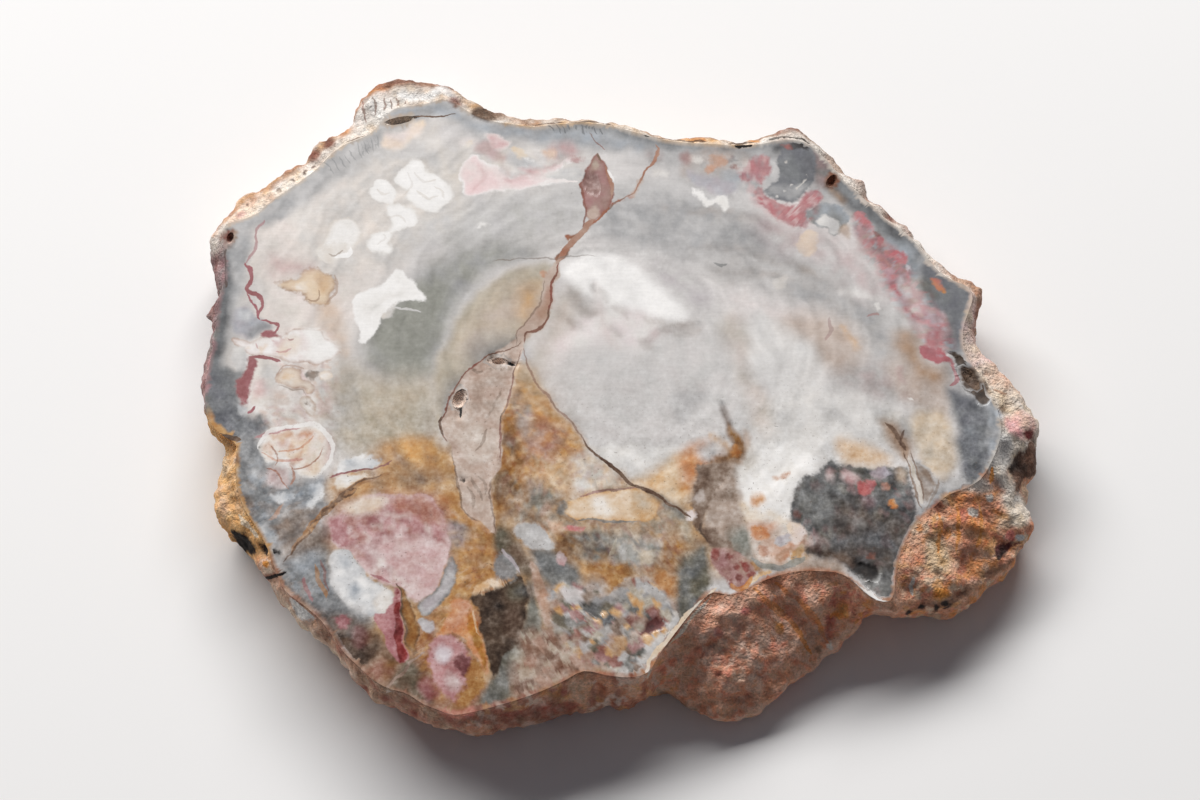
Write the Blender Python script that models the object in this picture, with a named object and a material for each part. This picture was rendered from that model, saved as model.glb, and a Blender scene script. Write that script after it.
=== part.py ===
"""A slice of petrified wood: a sawn log with one polished face, a crust of stony bark, a sloping brown
knob where a piece of the log broke away, and an orange knob beside it. It is one piece of stone.

Stations and sizes are in millimetres, and the mesh is made in metres. The log's own axis is Z."""

import math

import bmesh
import bpy
import numpy as np
from mathutils import Matrix, Vector, noise

NAME = "petrified_wood_slice"
MM = 0.001
THICKNESS = 10.0
COLUMNS = 352
# The middle of the outline's box, in the stations' own coordinates, so that it becomes the origin.
CENTRE = (1.81, 2.30)

# Rings of points: on the crust, from the polished edge (0) to the shoulder (1), and on the side below
# it, from the shoulder (0) down to the foot (1). Longer steps than this are halved.
CRUST_STEPS = (0.33, 0.66, 1.0)
SIDE_STEPS = (0.2, 0.4, 0.6, 0.8, 1.0)
LONGEST_STEP = 2.1
# The crust falls slowly at first: a power of the way along it. Its ring is evened out towards the foot.
CRUST_FALL = 1.15
FOOT_ROUNDS = 10
DIRECTION_ROUNDS = 6

# Relief of the stony bark: knobs, ridges that run along the log's axis, and a finer grain.
KNOB_SIZE = 5.0
KNOB_HEIGHT = 0.55
RIDGE_SIZE = 2.4
RIDGE_HEIGHT = 0.55
RIDGE_STRETCH = 0.3
MEAN_TURBULENCE = 0.33
GRAIN_SIZE = 1.5
GRAIN_HEIGHT = 0.4
# The relief's share at the foot, and the heights between which the bark stays.
FOOT_SHARE = 0.6
LOWEST_BARK = 0.3
HIGHEST_BARK = THICKNESS - 0.1

# The flat faces are cut into square cells, out to this distance; corners nearer than the snap are used.
FACE_CELL = 4.6
BASE_CELL = 9.5
CELLS_REACH = 56.0
SNAP = 0.06

# Heights are equal within this, in metres.
SAME_HEIGHT = 1e-7
SHARP_ANGLE = math.radians(35)

# One tuple for each station, clockwise from above: the polished face's edge (x, y), the shoulder where
# the crust turns down into the side (x, y), and the shoulder's height. Each stretch also says how far
# the side bulges out below the shoulder, how far its foot is drawn in, and how rough its bark is.
STRETCHES = (
    ("orange ledge", 0.3, 1.4, 0.9, (
        (-38.5, -17.3, -42.7, -16.3, 6.0),
        (-39.6, -15.5, -44.3, -14.0, 6.0),
        (-40.9, -13.5, -44.9, -11.2, 6.5),
        (-41.8, -11.0, -44.9, -8.8, 6.5),
        (-42.2, -8.0, -44.7, -6.2, 6.6),
        (-42.2, -5.6, -44.2, -4.6, 6.8),
    )),
    ("left edge", 0.3, 1.8, 0.55, (
        (-43.6, -4.7, -44.8, -3.9, 9.0),
        (-45.4, -3.0, -46.1, -2.4, 8.8),
        (-46.2, -0.5, -46.9, 0.1, 8.5),
        (-46.3, 2.3, -47.6, 2.8, 8.0),
        (-46.0, 4.6, -47.5, 5.3, 8.0),
        (-45.7, 7.2, -46.7, 8.1, 8.2),
        (-45.5, 10.0, -46.4, 10.5, 8.2),
        (-45.5, 11.7, -47.3, 12.3, 7.2),
        (-45.3, 13.4, -45.9, 14.0, 8.5),
        (-44.9, 15.6, -46.5, 16.3, 8.0),
        (-45.1, 18.2, -47.2, 19.0, 8.0),
        (-45.5, 20.7, -47.5, 22.0, 7.8),
        (-45.3, 22.6, -46.7, 24.1, 7.8),
    )),
    ("white bark", 0.5, 2.2, 0.9, (
        (-44.0, 23.1, -45.0, 25.9, 7.8),
        (-42.8, 23.5, -44.2, 27.5, 7.5),
        (-41.3, 24.3, -42.9, 28.4, 7.5),
        (-39.9, 25.8, -41.2, 29.1, 7.6),
        (-38.0, 27.2, -39.5, 30.3, 7.5),
        (-36.3, 28.6, -37.6, 31.8, 7.5),
        (-34.7, 30.0, -36.7, 32.8, 7.6),
        (-33.3, 31.7, -35.9, 34.3, 7.2),
        (-31.6, 33.2, -34.3, 35.6, 7.0),
        (-29.8, 34.0, -32.5, 37.0, 7.0),
        (-28.3, 34.9, -31.3, 38.8, 7.0),
        (-27.3, 36.1, -30.6, 40.6, 7.0),
        (-26.5, 37.4, -29.5, 42.3, 7.2),
        (-25.2, 38.2, -27.5, 43.2, 7.4),
        (-23.5, 38.5, -25.5, 43.6, 7.4),
        (-21.6, 38.8, -23.0, 43.4, 7.5),
        (-20.0, 39.3, -20.8, 43.1, 7.5),
        (-18.5, 38.9, -18.6, 42.0, 7.8),
    )),
    ("back edge", 0.4, 1.6, 0.5, (
        (-17.0, 37.9, -16.9, 40.4, 8.0),
        (-15.5, 37.0, -15.2, 39.4, 8.0),
        (-13.4, 36.3, -13.2, 38.9, 8.0),
        (-11.0, 35.9, -10.8, 38.2, 8.0),
        (-8.5, 35.6, -8.3, 37.8, 8.0),
        (-6.0, 35.9, -6.0, 38.0, 8.0),
        (-3.0, 36.1, -3.0, 37.5, 8.4),
        (0.0, 35.8, 0.2, 37.1, 8.4),
        (3.3, 34.9, 3.4, 36.3, 8.4),
        (6.5, 33.9, 6.5, 35.6, 8.4),
        (9.5, 33.4, 9.6, 35.1, 8.4),
        (12.5, 33.2, 12.6, 34.8, 8.4),
        (15.5, 33.0, 15.3, 34.4, 8.4),
        (18.4, 33.1, 18.1, 34.9, 8.2),
        (20.7, 33.6, 20.3, 35.9, 8.0),
        (22.6, 33.7, 22.8, 36.1, 8.0),
        (24.4, 33.1, 24.7, 35.0, 8.0),
    )),
    ("right edge", 0.3, 1.6, 0.7, (
        (25.6, 31.9, 26.3, 33.3, 8.0),
        (26.9, 30.5, 27.9, 31.7, 8.0),
        (27.9, 29.0, 28.9, 29.9, 8.2),
        (29.4, 27.4, 30.8, 28.7, 8.0),
        (31.1, 25.7, 31.7, 26.5, 8.5),
        (32.3, 24.5, 33.1, 25.6, 8.2),
        (33.6, 23.0, 34.5, 24.1, 8.2),
        (35.4, 21.7, 36.5, 23.1, 8.0),
        (36.9, 20.1, 37.4, 20.9, 8.6),
        (38.2, 18.2, 39.0, 19.0, 8.5),
        (39.7, 16.3, 40.5, 17.3, 8.5),
        (41.4, 15.1, 42.4, 16.8, 8.0),
        (42.9, 14.4, 44.3, 16.1, 8.0),
        (43.5, 13.0, 45.1, 14.3, 7.8),
        (43.0, 11.2, 44.1, 12.0, 8.2),
        (42.3, 9.0, 43.7, 9.4, 8.0),
        (42.3, 6.8, 44.2, 7.6, 8.0),
    )),
    ("right shelf", 0.5, 1.8, 0.8, (
        (43.0, 4.8, 45.7, 5.6, 8.0),
        (44.2, 3.0, 47.6, 4.0, 7.6),
        (45.1, 0.9, 49.4, 2.1, 7.5),
        (46.0, -1.2, 50.6, -0.2, 7.2),
        (46.4, -3.4, 51.1, -2.8, 7.2),
    )),
    ("hollow under the shelf", 3.2, 0.6, 1.0, (
        (46.0, -5.6, 48.8, -5.2, 8.2),
        (45.1, -7.8, 47.4, -7.6, 8.6),
        (43.9, -9.8, 47.5, -9.6, 8.0),
    )),
    ("orange knob", 0.4, 1.4, 1.1, (
        (42.0, -11.0, 49.6, -11.2, 6.2),
        (40.0, -11.8, 50.0, -14.0, 5.4),
        (38.3, -13.4, 48.9, -16.6, 5.4),
        (36.8, -14.7, 47.2, -18.6, 5.4),
        (35.6, -16.5, 45.2, -20.8, 5.8),
        (34.8, -18.3, 43.2, -22.8, 6.0),
        (34.2, -20.3, 41.0, -24.1, 6.2),
        (33.9, -22.1, 38.3, -24.3, 6.6),
        (33.8, -23.5, 35.8, -24.7, 7.6),
    )),
    ("overhang", 0.0, 3.6, 0.8, (
        (33.2, -24.6, 33.8, -25.6, 8.6),
        (31.7, -24.4, 32.0, -25.3, 8.6),
        (30.3, -23.3, 30.6, -25.2, 6.4),
    )),
    ("brown knob", 0.3, 1.2, 1.0, (
        (29.0, -22.0, 29.0, -26.3, 4.6),
        (27.4, -21.2, 27.6, -28.0, 3.6),
        (25.4, -21.0, 25.8, -29.4, 3.2),
        (23.3, -21.0, 24.2, -30.4, 3.0),
        (21.2, -21.4, 22.6, -31.9, 3.0),
        (19.2, -22.1, 20.6, -33.4, 3.0),
        (17.2, -23.1, 18.5, -35.0, 3.0),
        (15.3, -23.9, 16.0, -36.3, 2.7),
        (13.2, -23.6, 13.2, -36.4, 2.7),
        (12.0, -24.6, 11.0, -35.6, 2.8),
        (10.6, -26.3, 9.0, -34.2, 3.2),
        (9.0, -28.5, 7.6, -33.0, 4.2),
        (7.4, -30.8, 6.6, -33.0, 5.2),
        (6.1, -33.0, 5.6, -34.2, 6.0),
    )),
    ("front edge", 0.3, 1.4, 0.8, (
        (4.2, -33.7, 3.9, -35.1, 5.2),
        (1.5, -33.5, 1.2, -35.5, 5.0),
        (-1.2, -33.0, -1.4, -35.9, 4.8),
        (-3.5, -34.2, -3.9, -36.4, 4.8),
        (-6.0, -35.4, -6.4, -37.0, 5.2),
        (-8.6, -36.4, -8.9, -37.8, 5.6),
        (-11.2, -37.2, -11.6, -38.3, 6.0),
        (-13.8, -37.9, -14.3, -38.9, 6.6),
    )),
    ("lower left edge", 0.2, 3.6, 0.7, (
        (-15.8, -38.2, -16.2, -39.0, 8.0),
        (-17.6, -37.6, -17.8, -38.4, 8.2),
        (-19.3, -36.9, -19.6, -38.2, 7.4),
        (-21.2, -35.7, -21.9, -36.8, 7.6),
        (-23.3, -35.1, -24.1, -36.1, 7.7),
        (-25.2, -34.0, -26.2, -34.7, 8.0),
        (-26.9, -32.4, -27.9, -33.1, 8.0),
        (-28.4, -31.0, -29.5, -31.1, 7.8),
        (-29.7, -29.2, -31.3, -29.1, 7.5),
        (-31.3, -27.1, -33.3, -27.3, 7.4),
        (-33.2, -25.4, -35.2, -25.5, 7.2),
        (-35.0, -24.1, -36.6, -23.8, 7.6),
        (-36.1, -22.8, -37.9, -22.3, 8.0),
        (-36.7, -21.3, -38.7, -21.0, 8.0),
        (-37.3, -19.9, -39.4, -19.4, 8.0),
        (-37.8, -18.6, -40.4, -17.7, 7.0),
    )),
)

# Lumps and ridges (positive heights) and hollows (negative) on the crust and the side, each along a
# path of points (x, y, z): how far they stand out, and how far they reach to each side of the path.
FORMS = (
    ("belly of the brown knob", 0.9, 3.4, ((14.6, -31.0, 5.0), (17.0, -30.5, 5.0))),
    ("upper lump of the brown knob", 0.6, 2.2, ((12.8, -26.4, 8.4), (15.5, -26.0, 8.4))),
    ("first fold", 0.6, 0.9, ((18.4, -23.6, 9.2), (21.6, -26.2, 6.8), (24.0, -29.0, 4.0))),
    ("groove between the folds", -0.6, 0.8, ((20.0, -23.0, 9.2), (23.2, -25.8, 6.6), (25.6, -28.4, 3.8))),
    ("second fold", 0.6, 0.9, ((21.8, -22.4, 9.2), (25.0, -24.8, 6.6), (27.3, -27.4, 4.0))),
    ("red facet", 0.5, 1.2, ((29.6, -24.0, 6.4), (28.7, -25.6, 4.8))),
    ("notch under the folds", -1.0, 0.9, ((25.4, -28.8, 3.2),)),
    ("slot under the brown knob", -0.7, 0.9, ((8.0, -33.2, 1.6), (11.0, -35.2, 1.4))),
    ("orange knob, inner lump", 0.7, 1.8, ((38.2, -15.4, 8.6), (37.2, -18.6, 8.4))),
    ("orange knob, outer lump", 0.8, 1.8, ((42.6, -13.4, 8.0), (41.6, -17.0, 7.6))),
    ("orange knob, far lump", 0.8, 1.7, ((46.6, -12.6, 7.0), (47.6, -14.6, 6.0))),
    ("orange knob, low lump", 0.6, 1.5, ((38.0, -21.6, 7.6), (40.6, -20.8, 7.0))),
    ("orange knob, valley", -0.6, 1.0, ((40.2, -12.8, 8.6), (39.6, -17.4, 8.0), (43.2, -20.4, 6.2))),
    ("pits under the orange knob", -0.8, 0.7, ((37.2, -24.2, 4.6), (39.6, -24.3, 4.6))),
    ("hollow in the right side", -1.2, 1.3, ((48.6, -7.4, 6.6), (49.0, -9.0, 5.0))),
    ("thorn", 0.7, 0.6, ((-47.4, 12.4, 7.0),)),
    ("step above the orange ledge", -0.8, 0.6, ((-44.3, -4.4, 7.6), (-42.6, -5.1, 8.4))),
    ("orange ledge, upper lump", 0.5, 1.1, ((-43.8, -7.2, 7.0), (-44.2, -9.6, 6.8))),
    ("orange ledge, lower lump", 0.6, 1.2, ((-43.0, -13.0, 7.0),)),
    ("cavity in the orange ledge", -1.4, 0.9, ((-42.4, -16.6, 5.6), (-41.2, -16.4, 6.6))),
    ("gap beside the shard", -1.0, 0.7, ((-38.6, -18.2, 9.0),)),
    ("shard", 0.5, 0.8, ((-38.4, -19.6, 8.8),)),
    ("crevice below the shard", -0.8, 0.5, ((-38.0, -21.9, 8.4), (-36.9, -21.5, 9.4))),
    ("white bark, left swelling", 0.4, 2.0, ((-41.6, 26.8, 8.6),)),
    ("white bark, notch", -0.7, 0.8, ((-36.2, 31.8, 8.2), (-34.6, 31.6, 9.2))),
    ("white bark, top swelling", 0.5, 2.0, ((-29.0, 38.6, 8.2), (-25.4, 41.0, 8.4))),
    ("white bark, top ridge", 0.5, 0.8, ((-23.6, 41.4, 8.6), (-18.8, 40.6, 8.8))),
    ("brown lump on the back edge", 0.7, 0.9, ((-14.5, 37.8, 9.0),)),
    ("back edge, right swelling", 0.4, 1.6, ((22.4, 35.0, 8.8),)),
    ("right shelf, rim", 0.5, 0.8, ((45.6, 4.8, 8.4), (48.6, 1.6, 8.0), (50.2, -1.6, 7.8))),
    ("right shelf, gutter", -0.5, 0.8, ((44.8, 3.4, 9.4), (47.0, 0.4, 9.0), (48.0, -3.0, 8.8))),
    ("front shards", 0.6, 0.7, ((-2.0, -33.8, 8.0), (-1.2, -35.2, 5.6))),
    ("split beside the shards", -0.7, 0.5, ((0.6, -33.6, 8.6), (0.2, -35.0, 6.0))),
    ("pit beside the shards", -0.6, 0.6, ((-3.4, -34.9, 7.0),)),
)

# Holes in the polished face: x, y, half length, half width, depth, and the turn of the long axis.
HOLES = (
    ("hollow in the pocket", -16.4, 0.2, 1.35, 0.8, 0.9, 70),
    ("slit in the pocket", -12.1, 5.0, 1.3, 0.45, 0.8, -4),
    ("crevice at the top left", -25.0, 36.5, 1.9, 0.5, 0.8, 12),
    ("pit at the top right", 27.1, 28.2, 0.95, 0.55, 0.9, 60),
    ("sunk olive pocket", 43.0, 2.8, 1.7, 0.7, 0.7, -58),
    ("pit at the left", -44.6, 20.9, 0.8, 0.45, 0.8, 80),
)


def clear_scene():
    for obj in list(bpy.data.objects):
        bpy.data.objects.remove(obj)


def stations():
    """Every station as one row: face x, y, shoulder x, y, shoulder height, bulge, foot inset, roughness."""
    rows = []
    for _, bulge, inset, rough, points in STRETCHES:
        rows.extend((*point, bulge, inset, rough) for point in points)
    return np.array(rows)


def closed_curve(rows, per_span=16):
    """A closed Catmull-Rom curve through the rows, sampled finely."""
    before, start = np.roll(rows, 1, axis=0), rows
    end, after = np.roll(rows, -1, axis=0), np.roll(rows, -2, axis=0)
    samples = []
    for i in range(len(rows)):
        for k in range(per_span):
            t = k / per_span
            weights = (
                -0.5 * t + t * t - 0.5 * t**3,
                1 - 2.5 * t * t + 1.5 * t**3,
                0.5 * t + 2 * t * t - 1.5 * t**3,
                -0.5 * t * t + 0.5 * t**3,
            )
            points = (before[i], start[i], end[i], after[i])
            samples.append(sum(w * p for w, p in zip(weights, points)))
    return np.array(samples)


def even_columns(samples, count):
    """Takes columns at equal steps along the line midway between the face's edge and the shoulder."""
    middle = (samples[:, 0:2] + samples[:, 2:4]) / 2
    steps = np.linalg.norm(np.roll(middle, -1, axis=0) - middle, axis=1)
    along = np.concatenate([[0.0], np.cumsum(steps)])
    looped = np.vstack([samples, samples[:1]])
    wanted = np.arange(count) * along[-1] / count
    return np.stack([np.interp(wanted, along, channel) for channel in looped.T], axis=1)


def smoothed(values, rounds):
    """Averages each row of a closed ring with its neighbours."""
    for _ in range(rounds):
        values = (np.roll(values, 1, axis=0) + 2 * values + np.roll(values, -1, axis=0)) / 4
    return values


def outward_directions(ring):
    """The plan direction pointing out of the slice at each point of a clockwise ring."""
    along = np.roll(ring, -1, axis=0) - np.roll(ring, 1, axis=0)
    normals = np.stack([-along[:, 1], along[:, 0]], axis=1)
    normals = smoothed(normals / np.linalg.norm(normals, axis=1)[:, None], DIRECTION_ROUNDS)
    return normals / np.linalg.norm(normals, axis=1)[:, None]


def crust_ring(columns, share):
    """A ring of the crust's top, at this share of the way from the polished edge to the shoulder."""
    face, shoulder, height = columns[:, 0:2], columns[:, 2:4], columns[:, 4]
    plan = face + share * (shoulder - face)
    level = THICKNESS - (THICKNESS - height) * share**CRUST_FALL
    return np.column_stack([plan, level])


def side_ring(columns, outward, share):
    """A ring of the side, at this share of the way from the shoulder down to the foot."""
    shoulder, height, bulge, inset = columns[:, 2:4], columns[:, 4], columns[:, 5], columns[:, 6]
    reach = bulge * np.sin(math.pi * share) - inset * share**2
    plan = smoothed(shoulder + outward * reach[:, None], round(FOOT_ROUNDS * share))
    return np.column_stack([plan, height * (1 - share)])


def in_frame(point):
    """A point in millimetres by the stations, as a point of the part's own frame in metres."""
    x, y, z = point
    return Vector((x - CENTRE[0], y - CENTRE[1], z)) * MM


def by_stations(position):
    """A point of the part's own frame, as a point in millimetres by the stations."""
    return position / MM + Vector((CENTRE[0], CENTRE[1], 0))


def extrude_ring(mesh, edges, ring, rough):
    """Extrudes the last ring of edges and moves each new point to its place in the next ring."""
    column_of = mesh.verts.layers.int["column"]
    rough_of = mesh.verts.layers.float["rough"]
    made = bmesh.ops.extrude_edge_only(mesh, edges=edges)["geom"]
    for vertex in (item for item in made if isinstance(item, bmesh.types.BMVert)):
        column = vertex[column_of]
        vertex.co = in_frame(ring[column])
        vertex[rough_of] = rough[column]
    new = {item for item in made if isinstance(item, bmesh.types.BMEdge)}
    return [edge for edge in new if len(edge.link_faces) == 1]


def at_height(vertex, level):
    return abs(vertex.co.z - level * MM) < SAME_HEIGHT


def on_level(item, level):
    """Whether every corner of an edge or a face lies in the plane at this height."""
    return all(at_height(vertex, level) for vertex in item.verts)


def halve_long_edges(mesh):
    """Halves the crust's long edges, twice, where the knobs make the crust wide."""
    for _ in range(2):
        edges = [
            edge for edge in mesh.edges
            if edge.calc_length() > LONGEST_STEP * MM
            and not on_level(edge, THICKNESS) and not on_level(edge, 0)
        ]
        bmesh.ops.subdivide_edges(mesh, edges=edges, cuts=1, use_grid_fill=True)


def cut_into_cells(mesh, level, size):
    """Cuts the flat face at this level along a square grid, so that its triangles are well shaped."""
    cells = round(CELLS_REACH / size)
    for axis in (Vector((1, 0, 0)), Vector((0, 1, 0))):
        for step in range(-cells, cells + 1):
            faces = [face for face in mesh.faces if on_level(face, level)]
            edges = {edge for face in faces for edge in face.edges}
            points = {vertex for face in faces for vertex in face.verts}
            bmesh.ops.bisect_plane(
                mesh, geom=[*faces, *edges, *points], dist=SNAP * MM,
                plane_co=axis * step * size * MM, plane_no=axis,
            )


def nearness(point, path, reach):
    """How near a point is to a path: 1 on it, falling smoothly to about 0 at twice the reach."""
    starts = [Vector(corner) for corner in path]
    ends = starts[1:] or starts
    nearest = min(
        (point - closest_on(point, start, end)).length_squared for start, end in zip(starts, ends)
    )
    return math.exp(-nearest / reach**2)


def closest_on(point, start, end):
    """The point of the segment from start to end that is nearest to the given point."""
    way = end - start
    if way.length_squared == 0:
        return start
    share = (point - start).dot(way) / way.length_squared
    return start + way * min(max(share, 0.0), 1.0)


def bark_relief(point):
    """How far the stony bark stands out of its even form at a point."""
    stretched = Vector((point.x, point.y, point.z * RIDGE_STRETCH))
    knobs = noise.fractal(point / KNOB_SIZE, 1.0, 2.0, 2)
    ridges = noise.turbulence(stretched / RIDGE_SIZE, 2, False) - MEAN_TURBULENCE
    grain = noise.noise((point + Vector((40, 0, 0))) / GRAIN_SIZE)
    return KNOB_HEIGHT * knobs + RIDGE_HEIGHT * ridges + GRAIN_HEIGHT * grain


def roughen(mesh):
    """Moves every point of the crust and the side in or out along its normal, by the bark's relief."""
    rough_of = mesh.verts.layers.float["rough"]
    mesh.normal_update()
    moves = []
    for vertex in mesh.verts:
        if at_height(vertex, THICKNESS):
            continue
        point = by_stations(vertex.co)
        lift = vertex[rough_of] * bark_relief(point)
        lift += sum(height * nearness(point, path, reach) for _, height, reach, path in FORMS)
        way = Vector(vertex.normal)
        if at_height(vertex, 0):
            way.z = 0.0
            target = point + way.normalized() * lift * FOOT_SHARE
        else:
            target = point + way * lift
            target.z = min(max(target.z, LOWEST_BARK), HIGHEST_BARK)
        moves.append((vertex, in_frame(target)))
    for vertex, target in moves:
        vertex.co = target


def slice_mesh():
    """The whole slice: its polished face, the rings of its crust and side, and its flat base."""
    columns = even_columns(closed_curve(stations()), COLUMNS)
    outward = outward_directions(columns[:, 2:4])
    mesh = bmesh.new()
    column_of = mesh.verts.layers.int.new("column")
    mesh.verts.layers.float.new("rough")
    points = []
    for index, (x, y) in enumerate(columns[:, 0:2]):
        vertex = mesh.verts.new(in_frame((x, y, THICKNESS)))
        vertex[column_of] = index
        points.append(vertex)
    edges = [mesh.edges.new(pair) for pair in zip(points, points[1:] + points[:1])]
    bmesh.ops.edgeloop_fill(mesh, edges=edges)
    rings = [crust_ring(columns, share) for share in CRUST_STEPS]
    rings += [side_ring(columns, outward, share) for share in SIDE_STEPS]
    for ring in rings:
        edges = extrude_ring(mesh, edges, ring, columns[:, 7])
    bmesh.ops.edgeloop_fill(mesh, edges=edges)
    halve_long_edges(mesh)
    bmesh.ops.recalc_face_normals(mesh, faces=mesh.faces[:])
    roughen(mesh)
    cut_into_cells(mesh, THICKNESS, FACE_CELL)
    cut_into_cells(mesh, 0, BASE_CELL)
    bmesh.ops.triangulate(mesh, faces=mesh.faces[:])
    return mesh


def shade(mesh):
    """Smooth shading, with sharp edges at corners and around the two flat faces."""
    for face in mesh.faces:
        face.smooth = True
    for edge in mesh.edges:
        flats = [on_level(face, THICKNESS) or on_level(face, 0) for face in edge.link_faces]
        edge.smooth = edge.calc_face_angle(0) < SHARP_ANGLE and len(set(flats)) == 1


def hole_cutters():
    """The cutters of the holes in the polished face: sunk ellipsoids, joined in one object."""
    mesh = bmesh.new()
    for _, x, y, half_length, half_width, depth, turn in HOLES:
        place = Matrix.Translation(in_frame((x, y, THICKNESS)))
        size = Matrix.Diagonal((half_length * MM, half_width * MM, depth * MM, 1))
        spin = Matrix.Rotation(math.radians(turn), 4, "Z")
        bmesh.ops.create_icosphere(mesh, subdivisions=2, radius=1.0, matrix=place @ spin @ size)
    data = bpy.data.meshes.new("holes")
    mesh.to_mesh(data)
    mesh.free()
    cutters = bpy.data.objects.new("holes", data)
    cutters.hide_render = True
    cutters.display_type = "WIRE"
    bpy.context.scene.collection.objects.link(cutters)
    return cutters


def stone_material():
    material = bpy.data.materials.new("petrified_wood")
    material.use_nodes = True
    shader = material.node_tree.nodes["Principled BSDF"]
    shader.inputs["Base Color"].default_value = (0.42, 0.38, 0.33, 1.0)
    shader.inputs["Roughness"].default_value = 0.45
    shader.inputs["Metallic"].default_value = 0.0
    return material


def main():
    clear_scene()
    mesh = slice_mesh()
    shade(mesh)
    data = bpy.data.meshes.new(NAME)
    mesh.to_mesh(data)
    mesh.free()
    data.materials.append(stone_material())
    wood = bpy.data.objects.new(NAME, data)
    bpy.context.scene.collection.objects.link(wood)
    cut = wood.modifiers.new("holes", "BOOLEAN")
    cut.operation = "DIFFERENCE"
    cut.object = hole_cutters()


main()
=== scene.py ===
# %% [markdown]
# A slice of petrified wood lies on a pale table: a log turned to agate and opal, sawn across and polished on
# its upper face, with a rim of rough stony bark and two broken knobs low on the right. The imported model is
# one solid, and it stays as the measure of everything made here.

import math

import bmesh
import bpy
import numpy as np
from mathutils import Matrix, Vector, kdtree, noise


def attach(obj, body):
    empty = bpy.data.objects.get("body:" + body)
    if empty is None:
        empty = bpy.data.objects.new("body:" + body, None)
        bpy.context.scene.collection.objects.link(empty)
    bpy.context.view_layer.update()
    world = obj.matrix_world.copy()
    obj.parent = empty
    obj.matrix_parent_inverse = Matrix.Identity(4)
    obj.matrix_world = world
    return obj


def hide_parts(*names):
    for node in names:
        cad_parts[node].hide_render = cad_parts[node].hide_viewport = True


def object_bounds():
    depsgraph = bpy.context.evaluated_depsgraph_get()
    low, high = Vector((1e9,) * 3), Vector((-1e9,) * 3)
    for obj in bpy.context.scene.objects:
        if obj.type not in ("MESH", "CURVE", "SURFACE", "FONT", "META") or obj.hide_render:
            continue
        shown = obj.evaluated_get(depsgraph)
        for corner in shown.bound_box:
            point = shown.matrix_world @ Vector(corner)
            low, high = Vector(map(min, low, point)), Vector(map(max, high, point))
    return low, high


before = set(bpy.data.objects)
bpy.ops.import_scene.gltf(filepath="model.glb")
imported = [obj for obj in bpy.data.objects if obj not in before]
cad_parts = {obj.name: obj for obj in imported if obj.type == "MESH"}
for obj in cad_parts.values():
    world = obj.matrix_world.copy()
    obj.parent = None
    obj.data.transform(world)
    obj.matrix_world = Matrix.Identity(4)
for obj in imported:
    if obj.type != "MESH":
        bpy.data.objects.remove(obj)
cad_low, cad_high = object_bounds()
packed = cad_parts["petrified_wood_slice"]
MM = 0.001
TOP = 10.0
# Places on the face are read in millimetres from a point near its middle; the part's own origin is here.
CENTRE = Vector((1.81, 2.30))
print("box in mm:", [round(v / MM, 2) for v in (cad_high - cad_low)])

# %% [markdown]
# The slice is seen from almost above, a little from the front and the right, and the view leans to one
# side. The camera stands 388 mm away with a long lens, so the far side hardly looks smaller than the near.

# %% The camera
LENS = 100
DISTANCE = 388 * MM
ELEVATION, AZIMUTH, ROLL = (math.radians(v) for v in (67.6, 7.35, -6.8))

back = Vector((
    math.sin(AZIMUTH) * math.cos(ELEVATION),
    -math.cos(AZIMUTH) * math.cos(ELEVATION),
    math.sin(ELEVATION),
))
level = (-back).cross(Vector((0, 0, 1))).normalized()
upright = level.cross(-back)
right = math.cos(ROLL) * level + math.sin(ROLL) * upright
up = -math.sin(ROLL) * level + math.cos(ROLL) * upright
aim = Vector((-CENTRE.x, -CENTRE.y, TOP)) * MM
camera_data = bpy.data.cameras.new("camera")
camera_data.lens = LENS
camera_data.clip_start = 10 * MM
camera = bpy.data.objects.new("camera", camera_data)
bpy.context.scene.collection.objects.link(camera)
facing = Matrix((right, up, back)).transposed().to_4x4()
camera.matrix_world = Matrix.Translation(aim + back * DISTANCE) @ facing
bpy.context.scene.camera = camera
print("camera at", [round(v, 3) for v in camera.location])

# %% [markdown]
# One wide soft window stands behind the slice and a little to its left, and the room fills the shadows
# weakly. The light is low enough that the polished face doesn't mirror it to the camera, and the shadows
# fall to the front. The table is plain, pale and matt.

# %% Light and table
scene = bpy.context.scene
scene.view_settings.view_transform = "Standard"
SUN_AZIMUTH, SUN_HEIGHT = math.radians(17), math.radians(39)
WINDOW_DISTANCE = 1.1
WINDOW_SIZE = (1.5, 0.35)
WINDOW_POWER = 21.6
WINDOW_COLOUR = (1.0, 0.99, 0.975)
ROOM_COLOUR = (0.92, 0.9, 1.0)
ROOM_STRENGTH = 0.1
TABLE_COLOUR = (0.9, 0.895, 0.89)
TABLE_SIZE = 3.0
TABLE_GAP = 0.02 * MM

towards = Vector((
    -math.sin(SUN_AZIMUTH) * math.cos(SUN_HEIGHT),
    math.cos(SUN_AZIMUTH) * math.cos(SUN_HEIGHT),
    math.sin(SUN_HEIGHT),
))
window_data = bpy.data.lights.new("window", "AREA")
window_data.shape = "RECTANGLE"
window_data.size, window_data.size_y = WINDOW_SIZE
window_data.energy = WINDOW_POWER
window_data.color = WINDOW_COLOUR
window = bpy.data.objects.new("window", window_data)
window.location = towards * WINDOW_DISTANCE
window.rotation_mode = "QUATERNION"
window.rotation_quaternion = (-towards).to_track_quat("-Z", "Y")
scene.collection.objects.link(window)

room = bpy.data.worlds.new("room")
room.use_nodes = True
room.node_tree.nodes["Background"].inputs["Color"].default_value = (*ROOM_COLOUR, 1)
room.node_tree.nodes["Background"].inputs["Strength"].default_value = ROOM_STRENGTH
scene.world = room

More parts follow.
